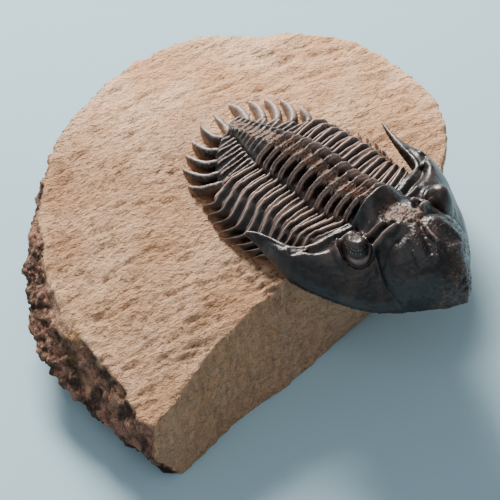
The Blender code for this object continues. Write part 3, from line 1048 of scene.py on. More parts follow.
@dataclass
class ShellPiece:
    """What the head, the segments and the tail share: the body plan, the worn axis and the painted masks."""

    FLATTENED: ClassVar[float] = 0.92  # share of a ring's height that wear leaves
    GROOVE: ClassVar[float] = 0.3  # depth in mm that stays open between worn rings
    MOST_BLEACHED: ClassVar[float] = 0.85

    plan: BodyPlan

    def wear_mask(self, points: Points) -> Points:
        """Find where the top of the axis is worn off.

        Args:
            points: Rows of x, y, z.

        Returns:
            0 on sound shell to 1 where it is worn off.
        """
        middle = -0.2 + 0.4 * np.sin(points[:, 1] / 5.0)
        width = curve(points[:, 1], (-19.5, -17, -12, 0, 12, 24), (0.01, 1.4, 2.0, 1.9, 1.6, 1.1))
        ragged = 0.35 * noise(points, 1.3, 3, Seed.AXIS_WEAR)
        return 1 - step(np.abs(points[:, 0] - middle) / width + ragged, 0.75, 1.25)

    def wear_axis(self, points: Points) -> Points:
        """Flatten the worn crests of the axis and fill the grooves between them with matrix.

        Args:
            points: Rows of x, y, z.

        Returns:
            The points with their new heights.
        """
        x, y, z = points.T
        low = self.plan.furrow_z(y)
        mask = self.wear_mask(points) * step(z - low, -1.2, 0.2)
        top = low + self.FLATTENED * self.plan.ring_height(y) - 0.06 * np.maximum(x - 1.0, 0) ** 2
        top += 0.16 * noise(points, 0.6, 3, Seed.AXIS_TOP)
        floor = top - self.GROOVE
        target = np.where(z > top, top, np.where(z < floor, mix(z, floor, 0.88), z))
        return np.column_stack([x, y, mix(z, target, 0.92 * mask)])

    def bleaching(self, points: Points, normals: Points) -> Points:
        """Find where the shell round the end of the axis is bleached.

        Args:
            points: Rows of x, y, z.
            normals: The unit normal at each.

        Returns:
            How much each point is bleached, 0 to 1.
        """
        x, y, z = points.T
        behind = step(y, 16.0, 21.0) * step(x + 0.3 * (y - 24.0), 0.0, 5.0) * step(-z, 2.2, 4.2)
        brim = step(y, 15.5, 19.0) * step(-z, 3.2, 5.2)
        brim *= step(normals[:, 2], 0.5, 0.85) * step(np.abs(x), 1.5, 3.0)
        stub = np.exp(-((x - 0.6) ** 2 / 7.0 + (y - 26.6) ** 2 / 5.0))
        stub *= step(-z, 2.6, 3.8) * (1 - step(y, 27.4, 28.8))
        return np.clip(0.30 * behind + 0.18 * brim + 0.9 * stub, 0, self.MOST_BLEACHED)

    def paint_shell(self, thing: bpy.types.Object, fine: int = 8, coarse: int = 60) -> None:
        """Store what the shell material reads.

        Args:
            thing: A shell piece.
            fine: Smoothing passes of its fine relief.
            coarse: Smoothing passes of its broad relief.
        """
        paint_relief(thing, fine, coarse)
        points, normals = read_points(thing), read_normals(thing)
        x, y, z = points.T
        crown = step(z - self.plan.furrow_z(y) - 0.55 * self.plan.ring_height(y), 0.0, 0.6)
        paint(thing, "wear", self.wear_mask(points) * crown * step(normals[:, 2], 0.3, 0.65))
        # Strength of the pale crest paint, worn shell and painted highlight: weak on the axis, a little
        # weaker on the flanks, none at the terminal spine.
        off_axis = step(np.abs(x) - self.plan.axis_half(y), -0.5, 0.2)
        flank = step(np.abs(x) - self.plan.fulcrum, -1.0, 0.8) * (1 - step(y, 13.0, 16.0))
        spine = step(y, 27.0, 28.5) * (1 - step(np.abs(x), 1.5, 3.0))
        paint(thing, "pale", mix(0.35, mix(1.0, 0.85, flank), off_axis) * (1 - spine))
        paint(thing, "dust", 1 - step(z + 0.5 * noise(points, 1.2, 3, Seed.DUST_EDGE), -9.2, -7.4))
        paint(thing, "bleached", self.bleaching(points, normals))


# ---------------------------------------------------------------------------------------- the segments


@dataclass
class Segment(ShellPiece):
    """One thoracic segment: a ring of the axis, ridged pleurae and a blade-like spine on each side."""

    number: int
    columns: int = 300
    rows: int = 34
    thorax_share: float = 0.68  # share of a half's columns that lie inside the root of the spine
    root_out: float = 2.8  # from the fulcrum to the root of the spine
    spine_width: float = 1.15
    spine_root_z: float = -4.27
    knot_at: float = 0.86
    crest_at: float = 0.79  # places on a pleura from front to back, as shares
    first_at: float = 0.28
    granule: float = 0.38
    granule_height: float = 0.22
    tip_of: tuple = (1, 2, 4, 6, 8, 11)  # segments whose spine tips follow; the others' lie between
    tip_x: tuple = (16.6, 17.8, 19.4, 20.3, 19.9, 17.2)
    tip_y: tuple = (-9.4, -6.8, -1.6, 3.6, 8.0, 15.4)
    ridge: Points | None = None  # how much each point of the sheet is painted pale as a crest: worn shell and painted highlight

    def tip(self) -> Points:
        """Work out where the right-hand spine ends.

        Returns:
            Its x and y.
        """
        x = np.interp(self.number, self.tip_of, self.tip_x)
        y = np.interp(self.number, self.tip_of, self.tip_y)
        return np.array((x, y))

    def ring_profile(self, s: Points) -> Points:
        """Share of the ring's height from its front edge to its rear edge."""
        at = (0, 0.08, 0.26, 0.46, 0.57, 0.68, 0.84, 0.94, 1)
        return curve(s, at, (0.40, 0.22, 0.16, 0.30, 0.78, 0.95, 1.0, 0.86, 0.40))

    def shape(self, u: Points, v: Points) -> Points:
        """Mould the segment's upper surface.

        Args:
            u: Place across, -1 to 1.
            v: Place from front to back, -1 to 1.

        Returns:
            Its points.
        """
        plan, number = self.plan, self.number
        s, reach = 0.5 * (v + 1), np.abs(u)
        root_x = plan.fulcrum_x(number) + self.root_out
        x = root_x * np.minimum(reach / self.thorax_share, 1)
        front, back = plan.joint_y(number - 1, x), plan.joint_y(number, x)
        y = front + (back - front) * s
        middle = np.array(0.5 * (plan.ring_y[number - 1] + plan.ring_y[number]) + plan.crest_lead)
        axis, low = float(plan.axis_half(middle)), float(plan.furrow_z(middle))
        tall = float(plan.ring_height(middle))
        fulcrum = plan.fulcrum_x(number)
        across = x / axis
        dome = np.maximum(1 - np.minimum(across, 1) ** 2.6, 0) ** 0.55
        ring = tall * (dome * self.ring_profile(s) - 0.10 * step(0.25 - across, -0.2, 0.2))
        stations = (0, axis, 0.5 * (axis + fulcrum), fulcrum - 1, fulcrum + 0.2, fulcrum + 1.6, root_x)
        levels = (low, low - 0.15, low + 0.1, low - 0.3, low - 0.8, 0.5 * low - 2.9, -4.9)
        base = curve(x, stations, levels)
        out = np.clip((x - axis) / (fulcrum - axis), 0, 2)
        ridge = self.pleura_profile(s, out) * step(across, 0.8, 1.03)
        node = 0.35 * bump(x, axis + 0.05, 0.5, 0.5) * bump(s, 0.88, 0.16, 0.10)
        z = base + ring + ridge + node
        # painted highlight line along the front crest of the ring
        edge = 0.5 * bump(s, 0.62, 0.03, 0.06) * step(across, 0.2, 0.5)
        self.ridge = mix(edge, self.crest_mask(s, reach, out), step(across, 0.92, 1.08))
        return self.add_spine(u, s, reach, x, y, z)

    def crest_mask(self, s: Points, reach: Points, out: Points) -> Points:
        """Mask the crest of a pleura, its flank and its spine, which is painted pale as worn shell and as
        highlight.

        Args:
            s: Place from the front edge to the rear edge, 0 to 1.
            reach: Place from the midline to the tip of the spine, 0 to 1.
            out: 0 in the furrow beside the axis, 1 at the fulcrum.

        Returns:
            How much each point belongs to a crest, 0 to 1.
        """
        main = bump(s, 0.80, 0.08, 0.10)
        first = bump(s, 0.29 - 0.10 * step(out, 0.1, 1.0), 0.05, 0.08) * (1 - step(out, 0.9, 1.2))
        flank = 0.62 * bump(s, 0.68, 0.12, 0.17)
        spine = 0.66 * bump(s, 0.68, 0.12, 0.16)
        pleura = mix(np.maximum(main, 0.9 * first), flank, step(out, 0.95, 1.3))
        return mix(pleura, spine, step(reach, self.thorax_share, self.thorax_share + 0.1))

    def pleura_profile(self, s: Points, out: Points) -> Points:
        """Work out the ridges of a pleura.

        Args:
            s: Place from the front edge to the rear edge, 0 to 1.
            out: 0 in the furrow beside the axis, 1 at the fulcrum.

        Returns:
            Height over its base.
        """
        main = roll(s, self.crest_at, 0.14)
        first = roll(s, self.first_at - 0.10 * step(out, 0.1, 1.0), 0.10)
        first = first * step(out, 0.02, 0.1) * (1 - step(out, 0.9, 1.3))
        knot = 0.30 * bump(out, self.knot_at, 0.08, 0.08) * roll(s, self.crest_at, 0.17)
        flank = bump(s, 0.62, 0.30, 0.24)
        shared = mix(0.90 * main + 0.74 * first + knot, 1.2 * flank, step(out, 0.95, 1.3))
        return shared - 0.62

    def add_spine(self, u: Points, s: Points, reach: Points, x: Points, y: Points, z: Points) -> Points:
        """Carry the outer columns along the spine and put every point on its own side.

        Args:
            u: Place across, -1 to 1.
            s: Place from the front edge to the rear edge, 0 to 1.
            reach: Place from the midline to the tip of the spine, 0 to 1.
            x: Where the points are without the spine.
            y: The same along the animal.
            z: Their heights.

        Returns:
            The points.
        """
        t = np.clip((reach - self.thorax_share) / (1 - self.thorax_share), 0, 1)
        root_x = self.plan.fulcrum_x(self.number) + self.root_out
        front = float(self.plan.joint_y(self.number - 1, np.array(root_x)))
        back = float(self.plan.joint_y(self.number, np.array(root_x)))
        root = np.array((root_x, 0.5 * (front + back)))
        end = self.tip()
        bend = np.array((0.33 * root[0] + 0.67 * end[0], root[1]))
        centre = ((1 - t) ** 2)[:, None] * root + (2 * t * (1 - t))[:, None] * bend + (t * t)[:, None] * end
        along = (2 * (1 - t))[:, None] * (bend - root) + (2 * t)[:, None] * (end - bend)
        along /= np.linalg.norm(along, axis=1)[:, None]
        turn = step(t, 0.0, 0.35)[:, None]
        across = mix(np.array((0.0, 1.0)), np.column_stack([-along[:, 1], along[:, 0]]), turn)
        across /= np.linalg.norm(across, axis=1)[:, None]
        width = mix(back - front, min(self.spine_width, 0.95 * (back - front)), step(t, 0.0, 0.45))
        width = width * (1 - 0.80 * t**2.2)
        plan_xy = centre + across * (width * (s - 0.5))[:, None]
        crest_z = (self.spine_root_z, -5.0, -5.55, -6.3, -7.1, -8.1)
        crest = curve(t, (0, 0.15, 0.3, 0.55, 0.8, 1), crest_z)
        profile_at = (0, 0.10, 0.40, 0.58, 0.70, 0.82, 0.93, 1)
        profile = curve(s, profile_at, (0, 0.34, 0.80, 0.96, 1.0, 0.92, 0.5, 0))
        blade = SUNK_Z + (crest - SUNK_Z) * profile
        grown = t > 0
        share = step(t, 0.0, 0.40)
        x = np.where(grown, plan_xy[:, 0], x)
        y = np.where(grown, plan_xy[:, 1], y)
        z = np.where(grown, mix(z + crest - self.spine_root_z, blade, share), z)
        return np.column_stack([np.where(u < 0, -x, x), y, z])

    def build(self, material: bpy.types.Material) -> bpy.types.Object:
        """Build and dress the segment.

        Args:
            material: The shell material.

        Returns:
            The finished piece.
        """
        thing = shape_sheet(f"segment_{self.number:02d}", 2 * (self.columns // 2), self.rows, self.shape)
        points = read_points(thing)
        points[:, 2] += 0.05 * noise(points, 0.7, 2, Seed.SEGMENT_GRAIN + self.number)
        value, crack = blocks(points, self.granule, Seed.GRANULES + self.number)
        on_ring = 1 - step(np.abs(points[:, 0]) - self.plan.axis_half(points[:, 1]), -0.6, 0.2)
        points[:, 2] += self.granule_height * step(crack, 0.02, 0.5) * value * on_ring
        drift = [noise(points, 1.6, 2, Seed.SEGMENT_DRIFT + axis) for axis in range(3)]
        write_points(thing, self.wear_axis(points + 0.05 * np.column_stack(drift)))
        drop_skirt(thing, SUNK_Z)
        self.paint_shell(thing)
        paint(thing, "ridge", np.pad(self.ridge, (0, len(thing.data.vertices) - len(self.ridge))))
        hand_over(thing, Slot.SHELL, material, f"thoracic_segment_{self.number:02d}")
        return thing


# -------------------------------------------------------------------------------------------- the tail


@dataclass
class TailShield(ShellPiece):
    """Pygidium: a tapering ringed axis, five pairs of double ribs that run out into blades, and a spine."""

    columns: int = 220
    rows: int = 150
    ribs: int = 5
    rings: int = 9
    rib_end: float = 0.94  # share of the margin that has ribs
    rib_crest: float = 0.62  # place of the main crest between one rib and the next
    axis_end: float = 24.9
    lean: float = 0.006
    voxel: float = 0.15
    margin_at: tuple = (0, 0.12, 0.3, 0.5, 0.7, 0.88, 1)
    margin_x: tuple = (13.4, 12.4, 10.7, 8.7, 6.3, 3.5, 1.3)
    margin_y: tuple = (14.2, 15.2, 18.1, 20.9, 23.2, 24.9, 25.9)
    blade_tips: tuple = ((15.9, 21.6), (13.9, 25.9), (11.2, 28.3), (8.0, 30.1), (4.0, 32.3))
    blade_half: tuple = (0.95, 1.15)  # on the left and on the right
    blade_root: float = 0.15  # share of a blade that lies inside its rib
    blade_depth: float = 1.2  # of a blade below its widest level
    terminal_half: float = 0.9
    terminal_y: tuple = (22.0, 33.0)  # from its root to its tip
    terminal_level: float = -8.4

    def leaning(self, x: Points, y: Points) -> Points:
        """Sideways place of points of the tail, which leans a little."""
        return x + self.lean * np.maximum(0, y - self.plan.ring_y[-1]) ** 2

    def margin(self, share: Points) -> tuple[Points, Points, Points]:
        """Right-hand margin without its blades, from its front corner at 0 to its rear end at 1."""
        x, y = (curve(share, self.margin_at, amounts) for amounts in (self.margin_x, self.margin_y))
        return x, y, curve(share, (0, 0.3, 1), (-4.6, -6.2, -6.4))

    def shape(self, u: Points, v: Points) -> Points:
        """Mould the upper surface.

        Args:
            u: Place across, -1 to 1.
            v: Place from front to back, -1 to 1.

        Returns:
            Its points.
        """
        share = 0.5 * (v + 1)
        place = 2 * np.abs(u)
        front = self.plan.ring_y[-1] + self.plan.crest_lead
        axis_y = front + (self.axis_end - front) * share**0.92
        axis, low = self.plan.axis_half(axis_y), self.plan.furrow_z(axis_y)
        tall = self.plan.ring_height(axis_y)
        edge_x, edge_y, edge_z = self.margin(share)
        inner = np.minimum(place, 1)
        t = np.maximum(place - 1, 0)
        x = np.where(place <= 1, inner * axis, axis + (edge_x - axis) * t)
        y = np.where(place <= 1, axis_y - 0.4 * (1 - inner**2), axis_y + (edge_y - axis_y) * t**1.4)
        phase = (self.rings * share**1.05) % 1
        ring = curve(phase, (0, 0.25, 0.6, 0.82, 0.93, 1), (0.0, 0.18, 0.75, 1.0, 0.85, 0.0))
        taper = 1 - 0.45 * share
        rise = (tall + 0.95 * (ring - 0.7) * taper) * np.maximum(1 - inner**2.4, 0) ** 0.55
        band = np.clip(share / self.rib_end, 0, 0.9999) * self.ribs % 1
        main = bump(band, self.rib_crest, 0.24, 0.15)
        second_at = 0.20 + 0.16 * step(t, 0.2, 0.95)
        second = bump(band, second_at, 0.13, 0.09) * (1 - 0.7 * step(t, 0.85, 1.0))
        ribbed = (1.15 * main + 0.75 * second - 0.55) * step(t, 0.0, 0.12)
        ribbed *= (1 - 0.25 * share) * (1 + 0.25 * t)
        z = np.where(place < 1, low + rise, low + (edge_z - low) * t**1.6 + ribbed)
        x = self.leaning(np.where(u < 0, -x, x), y)
        return np.column_stack([x, y, z])

    def margin_place(self, share: float) -> Points:
        """X, y and z of one place on the right-hand margin."""
        return np.array([float(part) for part in self.margin(np.array(share))])

    def section_z(self, angle: Points, crest: Points, level: Points | float, half: Points) -> Points:
        """Round a blade's section over and under the level at which it is widest; half is 0 past its tip."""
        high = np.where(np.sin(angle) > 0, crest - level, self.blade_depth) * (half > 0)
        return level + high * (np.abs(np.sin(angle)) ** 0.8 * np.sign(np.sin(angle)))

    def blade(self, side: int, number: int) -> bpy.types.Object:
        """Build one flat, backward-curved blade, from inside its rib to its point.

        Args:
            side: 1 on the right, -1 on the left.
            number: Its rib, from 0 at the front.

        Returns:
            The closed blade.
        """
        share = self.rib_end * (number + self.rib_crest) / self.ribs
        root_x, root_y, root_z = self.margin_place(share)
        root = np.array((root_x, root_y))
        run = (self.margin_place(share + 0.04) - self.margin_place(share - 0.04))[:2]
        run /= np.linalg.norm(run)
        out = np.array((run[1], -run[0]))
        out = out if out[0] > 0 else -out
        tip = np.array(self.blade_tips[number])
        bend = root + out * 0.5 * np.linalg.norm(tip - root)
        start = root - out * 1.6
        widest = self.blade_half[side > 0]
        crest_z = (root_z + 0.5, root_z + 1.0, root_z + 0.35, -6.7, -8.0)
        level_z = (root_z - 0.8, self.terminal_level, -8.6)

        def shape(u: Points, v: Points) -> Points:
            """Points of the blade; u runs round it and v along it."""
            angle, t = math.pi * u, 0.5 * (v + 1)
            span = np.clip((t - self.blade_root) / (1 - self.blade_root), 0, 1)
            centre = ((1 - span) ** 2)[:, None] * root + (2 * span * (1 - span))[:, None] * bend
            centre += (span**2)[:, None] * tip
            inside = mix(start, root, (t / self.blade_root)[:, None])
            centre = np.where((t < self.blade_root)[:, None], inside, centre)
            slope = (2 * (1 - span))[:, None] * (bend - root) + (2 * span)[:, None] * (tip - bend)
            slope /= np.linalg.norm(slope, axis=1)[:, None]
            across = np.column_stack([-slope[:, 1], slope[:, 0]])
            half = widest * curve(t, (0, 0.15, 0.4, 0.7, 0.9, 1), (0.6, 0.9, 1.0, 0.8, 0.45, 0.0))
            crest = curve(t, (0, 0.15, 0.35, 0.7, 1), crest_z)
            level = curve(t, (0, 0.2, 1), level_z)
            x, y = (centre + across * (half * np.cos(angle))[:, None]).T
            z = self.section_z(angle, crest, level, half)
            return np.column_stack([self.leaning(side * x, y), y, z])

        return close_form(shape_sheet(f"blade_{number}", 36, 60, shape))

    def terminal(self) -> bpy.types.Object:
        """Build the spine behind the axis.

        Returns:
            The closed spine.
        """
        root_y, tip_y = self.terminal_y

        def shape(u: Points, v: Points) -> Points:
            """Points of the spine; u runs round it and v along it."""
            angle, t = math.pi * u, 0.5 * (v + 1)
            y = root_y + (tip_y - root_y) * t
            half = self.terminal_half * curve(t, (0, 0.3, 0.7, 1), (0.8, 1.0, 0.75, 0.0))
            crest = curve(t, (0, 0.3, 0.7, 1), (-5.6, -7.2, -7.7, -8.7))
            z = self.section_z(angle, crest, self.terminal_level, half)
            return np.column_stack([self.leaning(half * np.cos(angle), y), y, z])

        return close_form(shape_sheet("terminal", 36, 60, shape))

    def build(self, material: bpy.types.Material) -> bpy.types.Object:
        """Build and dress the tail.

        Args:
            material: The shell material.

        Returns:
            The finished piece.
        """
        shield = shape_sheet("tail_shield", self.columns, self.rows, self.shape)
        drop_skirt(shield, SUNK_Z)
        forms = [shield, self.terminal()]
        forms += [self.blade(side, number) for side in (-1, 1) for number in range(self.ribs)]
        thing = fuse(forms, self.voxel)
        points = read_points(thing)
        points += 0.035 * read_normals(thing) * noise(points, 0.5, 3, Seed.TAIL_GRAIN)[:, None]
        points[:, 2] = np.maximum(points[:, 2], SUNK_Z)
        write_points(thing, self.wear_axis(points))
        self.paint_shell(thing, fine=12, coarse=50)
        hand_over(thing, Slot.SHELL, material, "pygidium")
        return thing


# -------------------------------------------------------------------------------------------- the head


@dataclass(frozen=True)
class Fold:
    """A ridge, or a furrow where its height is negative, that follows a path in plan, in mm."""

    path: tuple
    width: float
    height: float
    sides: tuple = (-1, 1)

    def add(self, x: Points, y: Points) -> Points:
        """Work out what the fold adds over points of the plan.

        Args:
            x: Places across the animal.
            y: Places along the animal.

        Returns:
            Height at each point.
        """
        total = np.zeros_like(x)
        for side in self.sides:
            chain = flat_chain([(side * px, py) for px, py in self.path])
            away, _ = chain_distance(np.column_stack([x, y]), chain)
            total += self.height * np.exp(-((away / self.width) ** 2))
        return total


@dataclass
class Eye:
    """A low eye: a lid, a slanting band of lenses, a ledge at its foot, and a fold of the cheek round it."""

    centre: tuple = (10.2, -20.9)
    half_x: float = 2.3
    half_y: float = 2.8
    turn: float = math.radians(10)
    top_z: float = 5.3
    rim_at: float = 0.40  # edge of the lid, as a share of the eye's size
    ledge_at: float = 1.03
    moat_at: float = 1.22
    fold_at: float = 1.52
    lens_pitch: float = 0.72
    lens_rows: float = 0.11  # distance between rows of lenses, as a share of the eye's size

    def polar(self, side: Points, y: Points) -> tuple[Points, Points]:
        """Place points round the eye.

        Args:
            side: Distance from the midline.
            y: Places along the animal.

        Returns:
            Distance from its middle as a share of its size, and the angle round it from outwards.
        """
        cos, sin = math.cos(self.turn), math.sin(self.turn)
        dx, dy = side - self.centre[0], y - self.centre[1]
        a, b = (cos * dx - sin * dy) / self.half_x, (sin * dx + cos * dy) / self.half_y
        return np.hypot(a, b), np.arctan2(b, a)

    def raise_over(self, base: Points, side: Points, y: Points) -> Points:
        """Add the eye to the surface of the cheek.

        Args:
            base: Height of the cheek.
            side: Distance from the midline.
            y: Place along the animal.

        Returns:
            Height of the surface with the eye.
        """
        r, angle = self.polar(side, y)
        dx, dy = side - self.centre[0], y - self.centre[1]
        facing = step(np.cos(angle + 0.35), -0.3, 0.3)
        rim = self.rim_at + 0.16 * step(angle, -0.4, 0.9)
        wall = 1 - np.clip((r - rim) / (1.0 - rim), 0, 1) ** 1.5
        inner = 1 - step(r, 0.5, 1.35)
        top = self.top_z - 0.15 * dx
        z = base + np.maximum(top - base, 0) * mix(inner, wall, facing)
        z += 0.22 * bump(r, rim - 0.02, 0.12, 0.10) * facing
        z += 0.58 * bump(r, self.ledge_at, 0.11, 0.10) * facing
        z -= 0.85 * bump(r, self.moat_at, 0.12, 0.14) * facing
        return z + bump(r, self.fold_at, 0.13, 0.28) * step(angle, -0.7, 0.2) * step(1.9 - angle, 0.0, 0.6)

    def dome_over(self, base: Points, side: Points, y: Points) -> Points:
        """Add the eye as a plain dome with a fold at its foot.

        Args:
            base: Height of the cheek.
            side: Distance from the midline.
            y: Places along the animal.

        Returns:
            Height of the surface with the eye.
        """
        r, _ = self.polar(side, y)
        dome = np.maximum(1 - np.minimum(r, 1) ** 2.3, 0) ** 0.62
        return base + np.maximum(self.top_z - base, 0) * dome + 0.35 * bump(r, 1.14, 0.10, 0.14)

    def lenses(self, side: Points, y: Points) -> Points:
        """Work out the relief of the lenses.

        Args:
            side: Distance from the midline.
            y: Places along the animal.

        Returns:
            Height of each point, 0 to 1.
        """
        r, angle = self.polar(side, y)
        band = bump(r, 0.80, 0.15, 0.12) * step(np.cos(angle + 0.35), -0.1, 0.3)
        around = np.cos(2 * math.pi * angle * 3.0 / self.lens_pitch)
        down = 0.4 + 0.6 * np.cos(2 * math.pi * (r - 0.6) / self.lens_rows)
        return band * np.maximum(around, 0) * down


@dataclass
class HeadShield(ShellPiece):
    """Cephalon: cheeks, an inflated glabella with lobes and furrows, eyes and long genal spines."""

    columns: int = 300
    rows: int = 230
    voxel: float = 0.215
    margin: tuple = (
        (21.3, -10.2, -3.2), (21.2, -13.0, -3.7), (20.5, -16.0, -4.2), (18.7, -20.2, -4.9),
        (16.5, -24.8, -5.7), (13.0, -29.8, -6.2), (9.5, -33.3, -6.2), (6.0, -36.8, -5.5),
        (2.8, -40.0, -4.4), (0.0, HEAD_TIP_Y, -3.6),
    )
    glabella_top_y: tuple = (
        -41.9, -41.5, -40.2, -38.2, -35.2, -31, -27.5, -24, -21.8, -20.2, -18.6, -17.2, -16.3, -15.6,
    )
    glabella_top_z: tuple = (-3.6, -1.6, 1.2, 3.9, 6.2, 7.6, 8.0, 7.6, 6.6, 6.2, 7.1, 8.1, 8.5, 7.0)
    glabella_side_y: tuple = (-41.9, -40, -36.8, -33.3, -30, -27, -24, -21, -18, -15.6)
    glabella_half: tuple = (0.05, 2.8, 6.0, 9.4, 10.3, 9.4, 8.0, 6.9, 6.4, 6.2)
    glabella_foot_z: tuple = (-3.6, -4.4, -5.5, -5.6, -2.6, 0.2, 1.4, 1.9, 2.0, 2.0)
    rear_x: tuple = (0, 6.5, 10.5, 14.0, 16.5, 17.6, 21.3)
    rear_y: tuple = (-15.6, -15.6, -14.5, -13.4, -11.5, -9.9, -9.9)
    rear_z: tuple = (2.3, 2.3, 2.0, 1.0, 0.35, 0.2, 4.0)
    rim: tuple = (
        (5.6, -15.2, 2.3), (9.5, -14.4, 1.8), (11.8, -13.9, 1.4), (14.0, -13.4, 0.9), (15.7, -12.6, 0.6),
    )
    crest_left: tuple = (
        (16.9, -11.5, 0.5), (17.8, -10.2, 0.4), (18.4, -8.0, 0.2), (18.6, -5.4, -0.1), (19.0, -3.0, -0.5),
        (20.1, -0.2, -1.0),
    )
    crest_right: tuple = (
        (16.5, -11.3, 0.5), (17.0, -9.8, 0.4), (17.6, -7.2, 0.1), (18.3, -4.6, -0.2), (19.1, -2.0, -0.5),
        (20.6, 2.1, -1.1),
    )
    folds: tuple = (
        Fold(((6.6, -20.9), (5.7, -21.3), (4.3, -22.0)), 0.55, 1.3),  # first lateral lobe
        Fold(((6.7, -22.3), (5.6, -22.8), (4.4, -23.3), (3.2, -23.7)), 0.55, -1.25),
        Fold(((7.6, -23.3), (6.8, -23.9), (5.6, -24.4), (4.0, -24.9)), 0.75, 1.2),  # second lateral lobe
        Fold(((9.0, -27.0), (7.4, -26.8), (5.2, -26.8), (3.0, -27.4)), 1.1, -0.55),
        Fold(((6.4, -19.6), (4.9, -19.3)), 0.35, 0.4),
        Fold(((7.0, -20.4), (7.9, -21.9), (8.6, -23.3)), 0.28, 0.5),
        Fold(((7.8, -19.2), (8.4, -21.5), (8.8, -23.0)), 0.7, -0.35),  # beside the glabella
        Fold(((-0.1, -28.3), (1.2, -30.7), (2.4, -33.6)), 0.9, -0.75, (-1,)),
        Fold(((-0.5, -29.1), (0.1, -31.4), (0.2, -33.2)), 0.38, 0.7, (-1,)),
        Fold(((-3.0, -28.6), (-4.6, -31.6), (-5.6, -34.2)), 1.2, 0.55, (-1,)),
        Fold(((4.6, -26.4), (4.9, -29.0), (6.2, -33.0)), 1.6, -0.55, (-1,)),
        Fold(((4.9, -31.1), (5.3, -32.8), (5.7, -34.4)), 0.16, 0.35, (-1,)),
        Fold(((4.2, -26.2), (6.6, -27.4), (9.4, -28.4)), 0.55, -0.7, (1,)),
        Fold(((5.6, -17.6), (8.0, -18.4), (9.6, -18.2)), 0.6, 0.9, (1,)),
        Fold(((7.8, -18.9), (9.8, -18.3), (11.9, -17.7)), 0.75, 1.1, (-1,)),  # hood over the left eye
        Fold(((11.9, -17.7), (13.1, -18.3), (13.6, -19.8)), 0.5, 0.65, (-1,)),
        Fold(((1.6, -36.6), (4.6, -36.2)), 1.3, 1.0, (1,)),  # shoulder of the frontal lobe
    )
    pale_painted_height: float = 0.6  # folds that are this high and narrow are painted pale, as worn shell and as highlight
    pale_painted_width: float = 1.2
    edge_depth: float = 0.9  # thickness of the shell at its margin
    thinnest: float = 0.3
    patch_at: tuple = (0.1, -23.8)  # where the crest of the glabella is broken
    patch_turn: float = math.radians(-28.0)
    patch_half: tuple = (3.0, 4.6)
    left_eye: Eye = field(default_factory=Eye)
    right_eye: Eye = field(default_factory=lambda: Eye((11.0, -23.3), 2.9, 3.2, top_z=6.1))

    def margin_at(self, share: Points) -> tuple[Points, Points, Points]:
        """Follow the right-hand margin.

        Args:
            share: Place from the genal corner at 0 to the tip at 1.

        Returns:
            X, y and z of each place.
        """
        at = np.linspace(0, 1, len(self.margin))
        x, y, z = (curve(share, at, [point[axis] for point in self.margin]) for axis in range(3))
        return x, y, z

    def outline(self) -> Points:
        """The whole margin as a chain from the right corner round to the left one."""
        right = np.column_stack(self.margin_at(np.linspace(0, 1, 120)))
        return np.vstack([right, right[-2::-1] * (-1, 1, 1)])

    def cheek(self, side: Points, y: Points, inside: Points, rim: Points) -> Points:
        """Raise the cheek from the margin and from the border along its rear edge.

        Args:
            side: Distance from the midline.
            y: Places along the animal.
            inside: Distance from the margin.
            rim: Height of the nearest margin.

        Returns:
            Height at each point.
        """
        ahead = curve(side, self.rear_x, self.rear_y) - y
        from_margin = rim + 9.6 * (1 - np.exp(-inside / 3.7)) + 0.3 * bump(inside, 0.6, 0.5, 0.6)
        border = 0.30 * bump(ahead, 0.45, 0.5, 0.45) - 0.75 * bump(ahead, 1.9, 0.8, 1.0)
        from_rear = curve(side, self.rear_x, self.rear_z) + border + 0.62 * np.maximum(ahead - 1.6, 0)
        blend = 0.6
        return -blend * np.log(np.exp(-from_margin / blend) + np.exp(-from_rear / blend))

    def glabella(self, x: Points, y: Points) -> Points:
        """Raise the glabella.

        Args:
            x: Places across the animal.
            y: Places along the animal.

        Returns:
            Its height, or far below where there is none.
        """
        half = curve(y, self.glabella_side_y, self.glabella_half)
        foot = curve(y, self.glabella_side_y, self.glabella_foot_z)
        across = np.abs(x) / half
        fullness = 0.56 + 0.26 * step(y, -22.5, -19.0)
        dome = np.maximum(1 - np.minimum(across, 1) ** 2.5, 0) ** fullness
        top = curve(y, self.glabella_top_y, self.glabella_top_z)
        return np.where(across < 1, foot + (top - foot) * dome, -20.0)

    def height(self, x: Points, y: Points) -> Points:
        """Raise the shield over its plan.

        Args:
            x: Places across the animal.
            y: Places along the animal.

        Returns:
            Height at each point.
        """
        inside, rim = chain_distance(np.column_stack([x, y]), self.outline())
        side = np.abs(x)
        cheek, glabella = self.cheek(side, y, inside, rim), self.glabella(x, y)
        right = self.right_eye.dome_over(cheek, side, y)
        z = np.where(x < 0, self.left_eye.raise_over(cheek, side, y), right)
        blend = mix(0.35, 1.2, step(-y, 22.0, 28.0))
        joined = blend * np.log(np.exp(z / blend) + np.exp(np.maximum(glabella, -15.0) / blend))
        z = joined - 0.35 * blend * step(-y, 22.0, 28.0) * step(inside, 0.5, 3.0)
        for fold in self.folds:
            z = z + fold.add(x, y) * step(inside, 0.5, 2.5)
        return z

